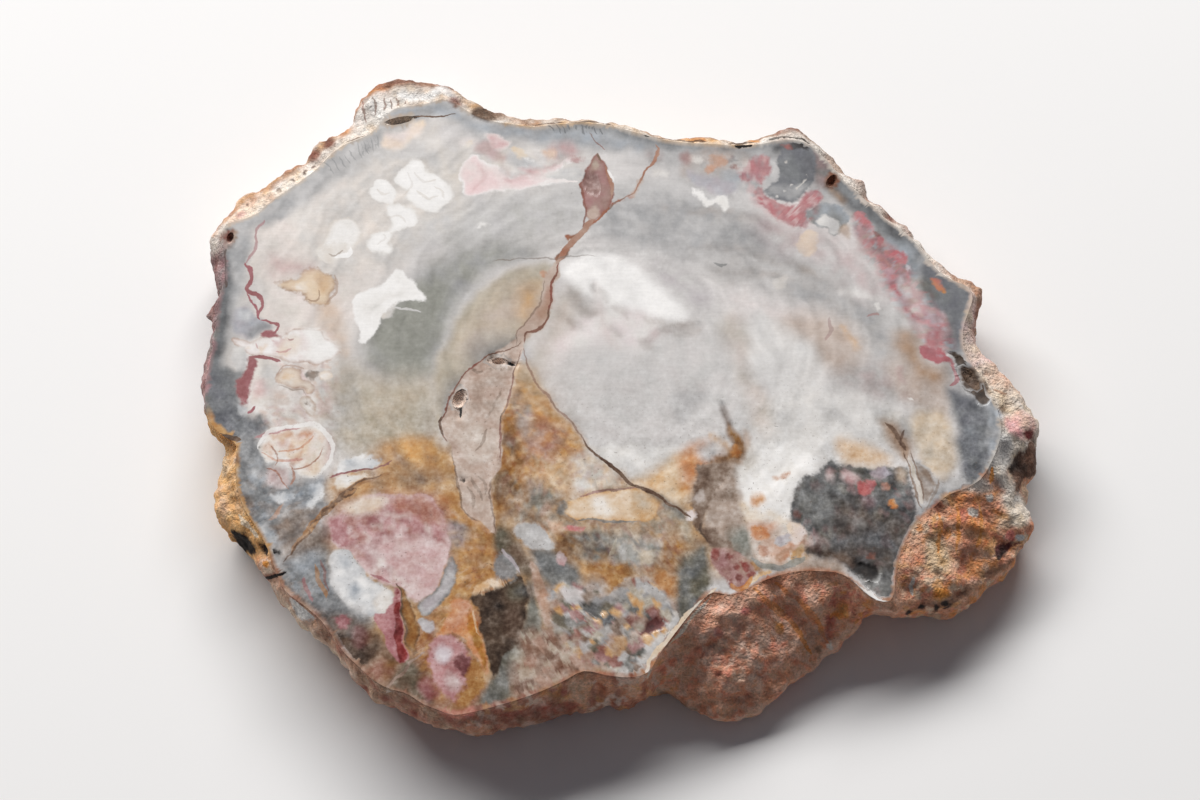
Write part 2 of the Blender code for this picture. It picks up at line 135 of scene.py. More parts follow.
bpy.ops.mesh.primitive_plane_add(size=TABLE_SIZE, location=(0, 0, -TABLE_GAP))
table = bpy.context.object
table.name = "table"
table_finish = bpy.data.materials.new("table")
table_finish.use_nodes = True
table_shader = table_finish.node_tree.nodes["Principled BSDF"]
table_shader.inputs["Base Color"].default_value = (*TABLE_COLOUR, 1)
table_shader.inputs["Roughness"].default_value = 1.0
table_shader.inputs["Specular IOR Level"].default_value = 0.0
table.data.materials.append(table_finish)
print("window at", [round(v, 2) for v in window.location])

# %% [markdown]
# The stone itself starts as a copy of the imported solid. Its loose triangles are joined, and its long edges
# are halved again and again until the face is fine enough to carry the borders of its markings, and the bark
# is fine enough to be broken up by its own relief. After each halving the slivers on the flat sides are
# turned into fuller triangles, so that under 200,000 are enough.

# %% The stone's fine mesh
FACE_STEP = 0.75
BARK_STEP = 0.6
BASE_STEP = 1.8
NEAR = 1e-6
MOST_HALVINGS = 8


def on_face(vertex):
    return vertex.co.z > TOP * MM - NEAR


def on_base(vertex):
    return vertex.co.z < NEAR


def step_limit(edge):
    """How long this edge may stay, by the surface that it lies on."""
    ends = edge.verts
    if on_face(ends[0]) and on_face(ends[1]):
        return FACE_STEP * MM
    if on_base(ends[0]) and on_base(ends[1]):
        return BASE_STEP * MM
    return BARK_STEP * MM


def flat(parts):
    """Those faces or edges that lie wholly on the polished face, or wholly on the base."""
    return [part for part in parts if all(map(on_face, part.verts)) or all(map(on_base, part.verts))]


stone = bmesh.new()
stone.from_mesh(packed.data)
bmesh.ops.remove_doubles(stone, verts=stone.verts, dist=NEAR)
for _ in range(MOST_HALVINGS):
    long_edges = [edge for edge in stone.edges if edge.calc_length() > step_limit(edge)]
    if not long_edges:
        break
    bmesh.ops.subdivide_edges(stone, edges=long_edges, cuts=1)
    bmesh.ops.triangulate(stone, faces=[face for face in stone.faces if len(face.verts) > 3])
    bmesh.ops.beautify_fill(stone, faces=flat(stone.faces), edges=flat(stone.edges))
print("fine mesh:", len(stone.verts), "points,", len(stone.faces), "triangles")

# %% [markdown]
# The bark is broken stone. The coarse corners are rounded off first, and then knobs, fibres that run with
# the log and a sharp grain are added along each point's own direction. At the polished edge the relief
# starts from nothing, because the saw and the polish cut it off there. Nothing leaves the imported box. A
# carved or scanned bark would look as real, but noise of three sizes does it in a few lines.

# %% The bark's relief
ROUNDING = 3
EVENING = 2
EDGE_REACH = 0.9
KNOB_SIZE, KNOB_HEIGHT = 3.1, 0.3
FIBRE_SIZE, FIBRE_HEIGHT, FIBRE_STRETCH, FIBRE_MEAN = 1.1, 0.26, 0.3, 0.33
GRAIN_SIZE, GRAIN_HEIGHT = 0.75, 0.13
GRAIN_SHIFT = Vector((9, 9, 9))
LOWEST_BARK, HIGHEST_BARK = 0.05, TOP - 0.03
FLAT_NORMAL = 0.99


def on_bark(vertex):
    return not on_face(vertex) and not on_base(vertex)


def bark_height(place):
    """How far the bark stands out at a place in millimetres: knobs, fibres along the log, and grain."""
    knobs = noise.fractal(place / KNOB_SIZE, 1.0, 2.0, 2)
    along_log = Vector((place.x, place.y, place.z * FIBRE_STRETCH))
    fibres = noise.turbulence(along_log / FIBRE_SIZE, 2, False) - FIBRE_MEAN
    grain = noise.noise(place / GRAIN_SIZE + GRAIN_SHIFT)
    return KNOB_HEIGHT * knobs + FIBRE_HEIGHT * fibres + GRAIN_HEIGHT * grain


bark = [vertex for vertex in stone.verts if on_bark(vertex)]
for _ in range(ROUNDING):
    bmesh.ops.smooth_vert(stone, verts=bark, factor=0.5, use_axis_x=True, use_axis_y=True, use_axis_z=True)
inside = [
    vertex for vertex in stone.verts
    if not on_bark(vertex) and all(face.normal.z**2 > FLAT_NORMAL for face in vertex.link_faces)
]
for _ in range(EVENING):
    bmesh.ops.smooth_vert(stone, verts=inside, factor=0.5, use_axis_x=True, use_axis_y=True)
stone.normal_update()


def by_the_bark(vertex):
    """Whether this point of the face or the base has a neighbour on the bark."""
    return not on_bark(vertex) and any(on_bark(edge.other_vert(vertex)) for edge in vertex.link_edges)


rim = np.array([vertex.co[:] for vertex in stone.verts if by_the_bark(vertex)]) / MM
moved = []
for vertex in bark:
    place = vertex.co / MM
    gap = np.min(np.sum((rim - place) ** 2, axis=1)) ** 0.5
    share = min(gap / EDGE_REACH, 1.0)
    target = place + vertex.normal * bark_height(place) * share
    target.z = min(max(target.z, LOWEST_BARK), HIGHEST_BARK)
    moved.append((vertex, target * MM))
for vertex, target in moved:
    vertex.co = target
for vertex in stone.verts:
    vertex.co = [min(max(v, low), high) for v, low, high in zip(vertex.co, cad_low, cad_high)]
print("bark points:", len(bark), "rim points:", len(rim))

# %% [markdown]
# The finished mesh becomes one piece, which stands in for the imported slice. It has three finishes, and its
# edges stay sharp where two of them meet, as a sawn edge is.

# %% Make the piece
FACE, BARK, BASE = 0, 1, 2
mesh = bpy.data.meshes.new("polished_wood")
stone.normal_update()
for face in stone.faces:
    face.smooth = True
    bark_face = any(on_bark(vertex) for vertex in face.verts)
    face.material_index = BARK if bark_face else (FACE if face.normal.z > 0 else BASE)
for edge in stone.edges:
    edge.smooth = len({face.material_index for face in edge.link_faces}) == 1
kind = np.array([FACE if on_face(v) else (BASE if on_base(v) else BARK) for v in stone.verts])
stone.to_mesh(mesh)
stone.free()
wood = bpy.data.objects.new("polished_wood", mesh)
scene.collection.objects.link(wood)
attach(wood, "root")
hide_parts("petrified_wood_slice")
print("points on face, bark and base:", np.bincount(kind))

# %% [markdown]
# The stone's markings are painted on its points. Each patch or stroke is drawn in millimetres and kept as a
# signed distance to its border, so that the finish can draw the border as sharp as it likes between the
# points. Soft clouds are mixed straight into the ground colour. On the bark the colours run down the side
# along the wood's grain, and through the stone to the sawn base they drift a little.

# %% Places to paint
count = len(mesh.vertices)
position = np.zeros(count * 3)
mesh.vertices.foreach_get("co", position)
position = position.reshape(-1, 3) / MM
LEAN = (0.053, -0.41)
DRIFT = (1.2, -0.8)
COARSE_WARP, FINE_WARP, BASE_WARP = 0.45, 0.22, 1.6
UPPER_BARK = 0.7
station = position[:, 0:2] + np.array(CENTRE)
depth = (TOP - position[:, 2])[:, None]
station = np.where(kind[:, None] == BARK, station + depth * LEAN, station)


def cloud(size, offset, octaves=2):
    """A soft noise of about -1 to 1 at every point, in lumps of this size. Each offset gives another one."""
    shift = Vector((offset, -offset, 0.37 * offset))
    values = [noise.fractal(Vector(p) / size + shift, 1.0, 2.0, octaves) for p in position]
    return np.array(values)


def ramp(values, start, end):
    """0 as far as the start, 1 past the end, and even between them. It may run downwards too."""
    return np.clip((values - start) / (end - start), 0, 1)


station += np.stack([cloud(3.2, 3), cloud(3.2, 17)], axis=1) * COARSE_WARP
station += np.stack([cloud(1.2, 29, 1), cloud(1.2, 41, 1)], axis=1) * FINE_WARP
drifted = station + DRIFT + np.stack([cloud(14, 53, 1), cloud(14, 61, 1)], axis=1) * BASE_WARP
station = np.where(kind[:, None] == BASE, drifted, station)
broad_mottle, fine_mottle = cloud(2.6, 71), cloud(1.0, 83, 1)
tone = np.ones((count, 3)) * 0.5
layers = []
lines = []
covered = np.zeros(count, int)
lined = np.zeros(count, int)
hollow = np.zeros(count)
upper_bark = np.flatnonzero((kind == BARK) & (position[:, 2] > TOP - UPPER_BARK))
border = kdtree.KDTree(len(upper_bark))
for row in upper_bark:
    border.insert(Vector((*position[row, 0:2], 0)), int(row))
border.balance()
found = [border.find(Vector((*p[0:2], 0))) for p in position]
from_bark = np.array([hit[2] for hit in found])
nearest_bark = np.array([hit[1] for hit in found])
print("farthest from the bark, mm:", round(from_bark.max(), 1))

# %% [markdown]
# Every marking takes its colours from one list of named stone colours. A name is easier to read in the
# tables below than three numbers, and a shade that turns out wrong is mended in one place.

# %% The palette
PALETTE = {
    "white": "F4F2F0", "pearl": "E9E6E2", "bone": "DED6CD", "mist": "D4D0CE", "cloud": "CBC9C7",
    "silver": "C3C1C0", "ash": "B8B4B1", "stone": "A3A3A4", "sage": "97978F", "slate": "7E8082",
    "steel": "73747A", "iron": "5A5A5C", "coal": "2E2724", "black": "16110F", "bluegrey": "A9AFB6",
    "sand": "B8AF9F", "linen": "C0B3A1", "buff": "B49A8B", "beige": "C6B5A9", "taupe": "9D8C7F",
    "umber": "7A6353", "bark": "5B4438", "tan": "A98D77", "ochre": "AE7E4C", "amber": "996B33",
    "honey": "D1A46C", "cream": "E2CDB2", "peach": "E6D2BC", "apricot": "CD9B7E", "orange": "CA8441",
    "rust": "8B5448", "terracotta": "A16B53", "brick": "864438", "red": "9C6768", "crimson": "A66C71",
    "maroon": "5E2A2A", "blood": "6B362C", "rose": "C49494", "pink": "E6DBD8", "blush": "F0E2E2",
    "mauve": "A8807E", "plum": "A77A7E", "lavender": "B9B0B4", "olive": "5E4C3E", "moss": "6B6657",
    "dusk": "81807D", "coral": "C9706A", "flame": "D08B3C", "lilac": "CFC8D2", "ruby": "9B3F3C",
    "rosered": "BC6E74", "shell": "EBD0D0", "gold": "C2914C",
}


def colour(name):
    """A palette colour as linear red, green and blue."""
    parts = [int(PALETTE[name][i:i + 2], 16) / 255 for i in (0, 2, 4)]
    return np.array([v / 12.92 if v <= 0.04045 else ((v + 0.055) / 1.055) ** 2.4 for v in parts])


# %% [markdown]
# A marking is a line or an outline through a few points, rounded to a smooth curve. Each point of the mesh
# near it needs its distance to that curve, which tells how far in or out of the marking it lies.

# %% Curves and distances
CURVE_STEPS = 5


def places(text):
    """Reads 'x,y x,y ...' as rows of millimetres."""
    return np.array([[float(v) for v in pair.split(",")] for pair in text.split()])


def curve(points, closed):
    """A smooth line through the points."""
    if len(points) < 3:
        return points
    ring = points if closed else np.vstack([points[:1], points, points[-1:]])
    made = []
    spans = range(len(points)) if closed else range(len(points) - 1)
    for i in spans:
        rows = [ring[(i + k - 1) % len(ring)] for k in range(4)] if closed else ring[i:i + 4]
        for t in np.arange(CURVE_STEPS) / CURVE_STEPS:
            made.append(0.5 * (
                2 * rows[1] + (rows[2] - rows[0]) * t
                + (2 * rows[0] - 5 * rows[1] + 4 * rows[2] - rows[3]) * t**2
                + (3 * rows[1] - rows[0] - 3 * rows[2] + rows[3]) * t**3
            ))
    return np.array(made if closed else made + [points[-1]])


def near(line, reach):
    """The points of the stone that lie within this reach of the line's box."""
    low, high = line.min(axis=0) - reach, line.max(axis=0) + reach
    return np.flatnonzero(np.all((station > low) & (station < high) & allowed[:, None], axis=1))


def to_line(spots, line):
    """For each spot: its distance to the line, the side it is on, and its share of the way along."""
    start, way = line[:-1], np.diff(line, axis=0)
    long = np.maximum(np.linalg.norm(way, axis=1), 1e-6)
    unit = way / long[:, None]
    gap = spots[:, None, :] - start
    along = np.clip(np.sum(gap * unit, axis=2), 0, long)
    apart = np.linalg.norm(gap - along[:, :, None] * unit, axis=2)
    side = gap[:, :, 0] * unit[:, 1] - gap[:, :, 1] * unit[:, 0]
    best = np.argmin(apart, axis=1)
    rows = np.arange(len(spots))
    before = np.concatenate([[0], np.cumsum(long)])
    share = (before[best] + along[rows, best]) / before[-1]
    return apart[rows, best], side[rows, best], share


def in_outline(spots, outline):
    """The signed distance of each spot to a closed outline, negative inside."""
    ring = np.vstack([outline, outline[:1]])
    apart, _, _ = to_line(spots, ring)
    low, high = ring[:-1], ring[1:]
    crossing = (low[:, 1] > spots[:, 1:2]) != (high[:, 1] > spots[:, 1:2])
    slope = (high[:, 0] - low[:, 0]) / np.where(high[:, 1] == low[:, 1], 1, high[:, 1] - low[:, 1])
    left = spots[:, 0:1] < low[:, 0] + slope * (spots[:, 1:2] - low[:, 1])
    inside = np.sum(crossing & left, axis=1) % 2 == 1
    return np.where(inside, -apart, apart)


# %% [markdown]
# Three brushes lay the paint: a patch fills an outline, a stroke follows a path, and a mosaic strews angular
# grains. A crisp marking goes on the first free layer, and a thin line on a layer of lines, so that none
# wipes out the border of one below it. Painting each point with one colour would be simpler, but then every
# border would be as coarse as the mesh.

# %% Brushes
FAR = 1.5
SOFT = 0.35
EDGE = 0.12
MOST_LAYERS = 10
MOST_LINES = 6
LINE_REACH = 0.9
LINE_WIDTH = 0.9
LEVEL_REACH = 0.9
PLAIN_MOTTLE = 0.05
SECOND_SHARE, BROAD_SHARE, FINE_SHARE = 0.4, 0.65, 0.45
TAPER, UNEVEN_WIDTH = 0.35, 0.25
GRAIN_MARGIN = 1.0


def mixed(colours, spots):
    """Colours such as 'white/pearl': the second comes through in lumps."""
    names = colours.split("/")
    first = np.tile(colour(names[0]), (len(spots), 1))
    if len(names) == 1:
        return first * (1 + PLAIN_MOTTLE * fine_mottle[spots])[:, None]
    share = SECOND_SHARE + BROAD_SHARE * broad_mottle[spots] + FINE_SHARE * fine_mottle[spots]
    share = np.clip(share, 0, 1)[:, None]
    return first * (1 - share) + colour(names[1]) * share


def lay(spots, apart, paint, soft, strength):
    """Glazes a soft patch over the ground and every layer, and lays a crisp one over them all."""
    if soft >= SOFT:
        share = np.clip(0.5 - 0.5 * apart / soft, 0, 1)
        share = (share * share * (3 - 2 * share) * strength)[:, None]
        for ground in [tone] + [layer["paint"] for layer in layers]:
            ground[spots] = ground[spots] * (1 - share) + paint * share
        return
    ours = spots[apart < LEVEL_REACH]
    level = min(covered[ours].max() if len(ours) else 0, MOST_LAYERS - 1)
    if level == len(layers):
        layers.append({"edge": np.full(count, FAR), "paint": tone.copy(), "strength": np.ones(count)})
    layer = layers[level]
    closer = (apart * EDGE / soft < layer["edge"][spots]) | (apart < 0)
    chosen = spots[closer]
    layer["edge"][chosen] = (apart * EDGE / soft)[closer]
    layer["paint"][chosen] = paint[closer]
    layer["strength"][chosen] = strength
    covered[ours] = np.maximum(covered[ours], level + 1)


def patch(colours, outline, soft=0.15, strength=1.0, rim=None, rim_width=0.5):
    """A closed patch. Its rim may shade into another colour over a width."""
    outline = curve(outline, closed=True)
    spots = near(outline, max(FAR, soft))
    if not len(spots):
        return
    apart = in_outline(station[spots], outline)
    paint = mixed(colours, spots)
    if rim:
        share = np.exp(-np.maximum(-apart, 0) / rim_width)[:, None]
        paint = paint * (1 - share) + colour(rim) * share
    lay(spots, apart, paint, soft, strength)


def stroke(colours, path, width, soft=None, strength=1.0):
    """An open stroke that narrows at both ends. Thin ones are kept as lines, to stay sharp."""
    path = curve(path, closed=False)
    soft = width / 2 if soft is None else soft
    spots = near(path, max(FAR, soft + width))
    if not len(spots):
        return
    apart, side, share = to_line(station[spots], path)
    taper = np.clip(4 * share * (1 - share), 0, 1) ** TAPER
    half = width / 2 * taper * (1 + UNEVEN_WIDTH * fine_mottle[spots])
    paint = mixed(colours, spots)
    if width > LINE_WIDTH or soft >= SOFT:
        lay(spots, apart - half, paint, soft, strength)
        return
    close = apart < LINE_REACH
    held, apart, side, half = spots[close], apart[close], side[close], half[close]
    level = min(lined[held].max() if len(held) else 0, MOST_LINES - 1)
    if level == len(lines):
        lines.append({
            "side": np.full(count, FAR), "half": np.full(count, -1.0),
            "paint": tone.copy(), "strength": np.ones(count), "apart": np.full(count, FAR),
        })
    line = lines[level]
    chosen = apart < line["apart"][held]
    rows = held[chosen]
    line["apart"][rows] = apart[chosen]
    line["side"][rows] = side[chosen]
    line["half"][rows] = (half - np.maximum(apart - np.abs(side), 0))[chosen]
    line["paint"][rows] = paint[close][chosen]
    line["strength"][rows] = strength
    lined[held] = np.maximum(lined[held], level + 1)


def mosaic(colours, outline, size, seed, soft=0.8, strength=0.8):
    """Small angular grains of this size inside an outline, in these colours, strewn by a seeded hand."""
    outline = curve(outline, closed=True)
    spots = near(outline, max(FAR, soft))
    paints = np.array([colour(name) for name in colours.split("/")])
    hand = np.random.default_rng(int(seed))
    low, high = outline.min(axis=0) - GRAIN_MARGIN, outline.max(axis=0) + GRAIN_MARGIN
    middles = hand.uniform(low, high, (int(np.prod(high - low) / size**2), 2))
    grain = [np.argmin(np.sum((middles - spot) ** 2, axis=1)) for spot in station[spots]]
    paint = paints[hand.integers(len(paints), size=len(middles))][grain]
    lay(spots, in_outline(station[spots], outline), paint, soft, strength)


# %% [markdown]
# The markings themselves are rows of tables, in the order in which they lie over one another. A call for
# each would say the same words hundreds of times.

# %% Tables of markings


def rows_of(table):
    """The rows of a table. A long row goes on, indented, on the next line."""
    return table.strip().replace("\n    ", " ").splitlines()


def draw(table):
    """Draws the markings of a table, one to a row, in their order.

    A row names its brush and its colours. A stroke's width or a mosaic's grain and seed come next, then the
    softness, the strength and a rim's colour and width, of which the last may be missing. After the colon are
    the points of one or more shapes, divided by semicolons.
    """
    brushes = {"patch": patch, "stroke": stroke, "mosaic": mosaic}
    for row in rows_of(table):
        look, shapes = row.split(":")
        brush, colours, *settings = look.split()
        settings = [word if word in PALETTE else float(word) for word in settings]
        for shape in shapes.split(";"):
            brushes[brush](colours, places(shape), *settings)


def dots(colours, centres, reach, soft, strength):
    """Small diamonds around these centres, which reach this far sideways and up."""
    across, up = reach
    for x, y in places(centres):
        corners = [(x - across, y), (x, y + up), (x + across, y), (x, y - up)]
        patch(colours, np.array(corners), soft, strength)


# %% [markdown]
# The ground of the face comes first, in soft clouds: a dark rim under the bark, a warm pale zone inside it,
# a grey-green crescent, the sandy arc, and the bright heartwood in the middle. These zones pass into one
# another without a line, so each is a wide glaze and not a crisp marking.

# %% Paint the ground
RIM_WIDTH, RIM_WAVER, RIM_SHARE = 3.2, 1.6, 0.85
allowed = kind != BARK
tone[:] = colour("mist")
rim_share = ramp(from_bark, RIM_WIDTH + RIM_WAVER * cloud(9, 91), 0) * RIM_SHARE
rim_share *= ramp(station[:, 1], -26, -14)
draw("""
patch mist/bone 4: -46,22 -34,32 -20,38 -8,34 -2,30 -20,25 -26,18 -30,8 -30,-6 -40,-8 -46,0
patch bone/pink 3 0.7: -40,24 -32,29 -27,31 -23,24 -30,8 -33,-4 -38,-4 -40,10
patch mist/silver 3: -26,30 -16,36 -4,36 10,34 24,33 34,23 41,14 41,6 38,12 30,21 20,30 4,32 -12,34
patch silver/cloud 2 0.9: -20,24 -12,27 -3,28.5 6,28.5 16,25 26,20 36,10 38,2 28,12 14,20 -4,22 -16,19
patch silver/stone 2.5 0.8: -8,36 8,34 20,33 24,31 20,27 10,27 6,31 0,33
patch stone/silver 2 0.9: 3,26.5 10,26 17,23 24,17 22,15 14,17 5,19 -1,21 0,25
patch silver/sage 2 0.35: -22,20 -18,24 -10,25.5 -3,25 -3,21 -8,19 -13,18
patch sage/stone 1.6 0.9: -28,5 -26,11 -21,17 -15,19.5 -11,20 -8,19.4 -10,18.3 -13,17 -16,13.5 -18.6,8
    -19.5,3 -24,2
patch sage 1.6: -27,7.5 -25,12 -21,15 -18,14.5 -19.3,9 -20.5,4.5 -24,3.5
patch sand/linen 2.5: -30,4 -26,3 -19.5,2.5 -19,-4 -18,-7 -24,-7 -30,-6 -32,-1
patch silver/sand 1.5 0.6: -33,2 -29,3 -28,-2 -30,-6 -33,-3
patch sand/linen 0.7: -19,-4 -19.2,1 -19,5 -17.8,8 -16.4,11 -14.3,14 -11.5,16.2 -9,17.3 -6,17.8 -5.4,15
    -7,11 -10,6 -14,4 -18,0
patch beige/linen 1.4 0.7: -17,6 -15,10 -12,13.5 -9.5,14.5 -9,10 -11.5,7 -14.5,5
patch honey/tan 1.5 0.75: -9.5,14.5 -7.2,15 -6.6,12 -8,9.5 -9.8,11
patch mist/cloud 2: -5.5,16 0,20 8,17 16,12 26,10 34,4 38,-4 34,-8 24,-12 14,-10 10,-6 0,-7 -6,0 -7.5,6
patch beige/linen 2 0.65: -7,8 -5,13 -3,12 -3,4 -2,-3 -5,-1 -8,3
patch ash/silver 1.6 0.75: 12,19 20,18.5 30,14 34,11 33,9.5 28,12 20,14.5 13,15
stroke stone/taupe 1.1 0.5 0.45: 10,19.6 16,19.4 22,17.4 28,13.6 32,10; 13,16.4 19,16 25,13.4 30,9.6;
    6,24.6 13,24.2 20,22.2 26,18.6
patch stone/ash 1.4 0.8: 19,14.5 25,14 31,11.5 35,7 33,5.5 29,9.5 24,12 19,13
patch pink/mist 1.5 0.6: 15,14 22,12.5 26,10 22,9.5 16,11.5
patch rose/mist 2.2 0.35: 18,23 24,22 30,19 33,14 31,13 27,17 21,19.5
patch beige/tan 1.6 0.75: 21,10.5 25,11 29,9 30.5,6 29.5,4 26.5,4 24.5,7.5 22,8.5
patch dusk/mauve 1.8 0.5: 29,4.5 33,4 36,1.5 35,0 31,1 28,2.5
patch tan/ochre 1.3 0.75: 34.5,8.5 37.3,8 37.5,5 40.5,3.5 39.5,1.5 37,2.5 35,5
patch beige/tan 1.6 0.7: 34,5 37,3 40,1.5 40,-2 37,-1 34.5,1.5
patch pearl/white 1.2 0.5: 17.5,10 20.5,10.3 22.5,8.3 24.8,6.5 25.8,3 25,0 21,1 17.5,4 16.5,7.5
patch pearl/cloud 1.5 0.8: 20,0 27,1 33,-0.5 34.3,-3 31,-6 26,-8 20,-7 18.5,-3
patch silver/cloud 1.5 0.6: 17.5,4.5 20,6 22.5,4.6 22.6,1.6 20,0.6 17.8,2
patch beige/linen 1.1 0.5: 15.5,11 17.5,8 17,4.5 19,1 20,-3 18.5,-4 16.5,0 15,5 14,9
patch mist/cloud 1.8 0.85: 0,9 8,8.5 14,8 16,3 17,-2 12,-6 4,-7.5 -1,-5.5 -5,0 -6,5
patch pearl/blush 1.4 0.7: 0,11.5 5,12 7,9 4,6.5 0,7 -4,6 -5.5,3 -6,7 -3,10
patch white 0.8: -4.8,16.6 -1.5,18.6 2.5,18 5.5,15.8 8,13.6 10,10.6 9.5,9.6 6.5,10.5 3,12 0,12.8 -2.5,14
patch cloud/lavender 1.2 0.7: 6,17.5 10,16 13,13.5 12,11 9.5,12.5 7,15
patch stone/silver 0.8 0.55: 8,0.3 11,1.5 12.5,0.5 11,-1.2 10,-3 9,-1.8
patch dusk/taupe 0.7 0.45: -3.7,14.3 -2.6,14 -1.6,12.5 -0.4,11.4 -1.4,10.3 -2.6,11.4 -3.6,12.5
stroke dusk 0.7 0.4 0.5: -1.7,15.2 -1.2,14.3 -0.8,13.6
stroke taupe 0.7 0.4 0.5: -3.9,10.2 -3.4,9.6 -3,9
stroke dusk/mauve 0.9 0.6 0.5: 5.2,7.4 7,8.6 9.5,9.5 12,9.8
stroke taupe/dusk 0.9 0.5 0.32: -4.2,14.6 -3.2,13.4 -2,12.6; -3,12.6 -1.8,11.4 -0.6,10.8; -4,10.6 -3,9.8
    -2.4,8.8; 0.8,9.4 2,8.4 2.6,7.4; 4.6,10.4 6.2,9.8 7.6,9.9; 7.2,8.8 9,9.4 11,9.6; 8.8,8 10.2,8.6
    11.8,8.8; 1.4,12 2.4,11.4 3,10.6; -0.4,14.2 0.4,13.4 0.8,12.6; -5.4,12 -4.8,11.2 -4.6,10.2; 4.4,7.6
    5.4,7.2 6,6.4
stroke mauve/beige 1 0.8 0.25: -1,15 0.5,8.5 2,6.5
""")
# The dark rim follows the bark all round the back and both sides.
everywhere = np.arange(count)
pale = (ramp(station[:, 1], 14, 22) * ramp(station[:, 0], 16, 8))[:, None]
rim_colour = mixed("slate/stone", everywhere) * (1 - pale) + mixed("stone/silver", everywhere) * pale
rim_share = (rim_share * allowed)[:, None]
tone[:] = tone * (1 - rim_share) + rim_colour * rim_share
draw("""
stroke silver/stone 3.4 0.9: -44,22.2 -41,24 -38,25.6 -35,27.8 -32,30.5 -29,32.5
patch silver/stone 0.9 0.9: -31.5,33 -29,34.3 -27.3,36 -26.8,34 -25.5,32 -27.5,30.5 -30.5,29 -33,30
patch stone/bluegrey 0.8: -26,38.3 -22,38.6 -19,38.5 -15,36 -10,35.6 -4,35.6 2,35 6,33.3 4,32.5 -3,33
    -10,34 -16,35 -20,37.5 -25,36.8
stroke slate/stone 1.4 0.6: -12,36 -6,35.6 -2,35.8 3,34.6 8,33.2 14,32.8 20,33.2
patch stone/silver 0.9: -44.8,22 -42.5,22 -42,18 -42.8,13 -44,10 -45,14
stroke slate/iron 1.5 0.6: -45,19 -44.7,14 -45,9 -45.3,6 -45.6,3 -45.4,0
patch slate/steel 0.7: -46.5,3 -44.2,4 -42.8,2 -42,-1 -41,-2.5 -38.8,-2.5 -39,-4 -42,-5 -44,-4 -46,-1.5
patch slate/stone 0.9: -42.3,-5 -40,-4.5 -38.5,-6.5 -38,-9.5 -37,-11 -38,-14 -38.5,-16.5 -41,-13.5 -42,-10
patch bluegrey/white 0.7 0.8: -40.5,-8.8 -39.3,-8.4 -38.4,-9.5 -39.2,-10.6 -40.3,-10.2
patch umber/iron 0.6 0.8: -41.4,-11.8 -40.3,-12 -39.3,-14.3 -40.5,-14.6 -41.3,-13.2
patch slate/bluegrey 0.9: -38.5,-10.5 -34,-10 -31.5,-9.5 -31,-11 -31.5,-13.5 -33.5,-16 -36,-17.5
    -38.5,-17.3 -39,-13.5
patch taupe/slate 1 0.7: -37.5,-13 -34.5,-12.7 -32.3,-14.2 -33.5,-16.3 -36,-17 -37.5,-15.5
patch slate/stone 0.7: -35.5,-18.5 -33,-17 -30.8,-15 -30.5,-18 -30.2,-22 -28.5,-25 -25.8,-27 -24.8,-29
    -26,-31 -29,-29 -32,-26 -35.5,-22.5
patch umber/taupe 0.9 0.6: -37,-15.4 -34,-14.6 -32,-16.4 -33,-19.4 -36,-19.4
patch taupe/olive 0.8 0.6: -34.3,-17 -32.8,-15.7 -31.2,-16 -31.5,-18.5 -33.5,-18.7
patch bluegrey/stone 0.6 0.8: -35,-19.8 -33,-19 -32,-20 -33,-21.5 -34.8,-21.3
patch stone/slate 0.8 0.8: -29,-25.5 -26.8,-26 -25.3,-28.3 -26,-29.5 -28,-28
stroke slate/iron 2.8 0.7: 20,32.8 24,32.2 27,29.5 29.5,26.3 32,24 35,20.8 37.5,18.2
patch mauve/dusk 0.6 0.7: 25.3,32 27.2,29.5 27,27.7 25.5,27.6 25,29.5
patch bluegrey/slate 0.7: 33.5,20.5 35.5,20.8 37,18.5 38,16.8 37,15.3 34.5,16.5 34.2,18.8
patch slate/steel 0.5: 38.2,17.3 40.3,16 43,14.4 43.5,13 42.7,11 42.2,8.5 42,6.2 40.8,6.3 40.2,8.5
    40.5,10.5 39.3,11.5 38,12.8 37.8,15
patch moss/slate 0.6 0.5: 37.3,15.3 39,15 39.5,13.6 38.3,12.8 37.3,13.7
patch slate/steel 0.7: 40.5,1.2 42.5,0.8 44.8,0 45.2,-2.5 44.9,-5.5 44.6,-8.5 43.8,-10 42,-9.5 41.3,-6.5
    41.6,-3 40.8,-0.5
patch stone/bluegrey 0.35: 45,0 46.3,-1.2 46.6,-3.5 45.6,-6 45,-8.2 44.7,-5 45,-2.5
patch bluegrey/slate 0.7 0.6: 42,-3.5 43,-3.8 42.8,-5.8 42,-5.4
patch slate/iron 0.6 0.8: -36.4,-22.2 -35,-21 -33.5,-24 -30.5,-26 -29.5,-28.3 -31,-27.4 -33.3,-25.6
    -35.5,-24
patch gold/taupe 1.6 0.85: -30,-9 -18,-6 -10,2 -6,-4 2,-9 10,-12 14,-8 17,-12 22,-15 24,-20 12,-22 6,-36
    -10,-40 -20,-40 -27,-32 -25,-26 -30,-20 -31,-14
patch ochre/rust 1.5 0.7: -19,-12 -12,-16 -10,-22 -13,-32 -17,-38 -24,-36 -25,-31 -20,-26 -17,-20
""")

# %% [markdown]
# The low part of the face is the liveliest: ochre and amber chalcedony around a pink heart, a grey breccia
# of small broken pieces, and the dark lump above the white seam.

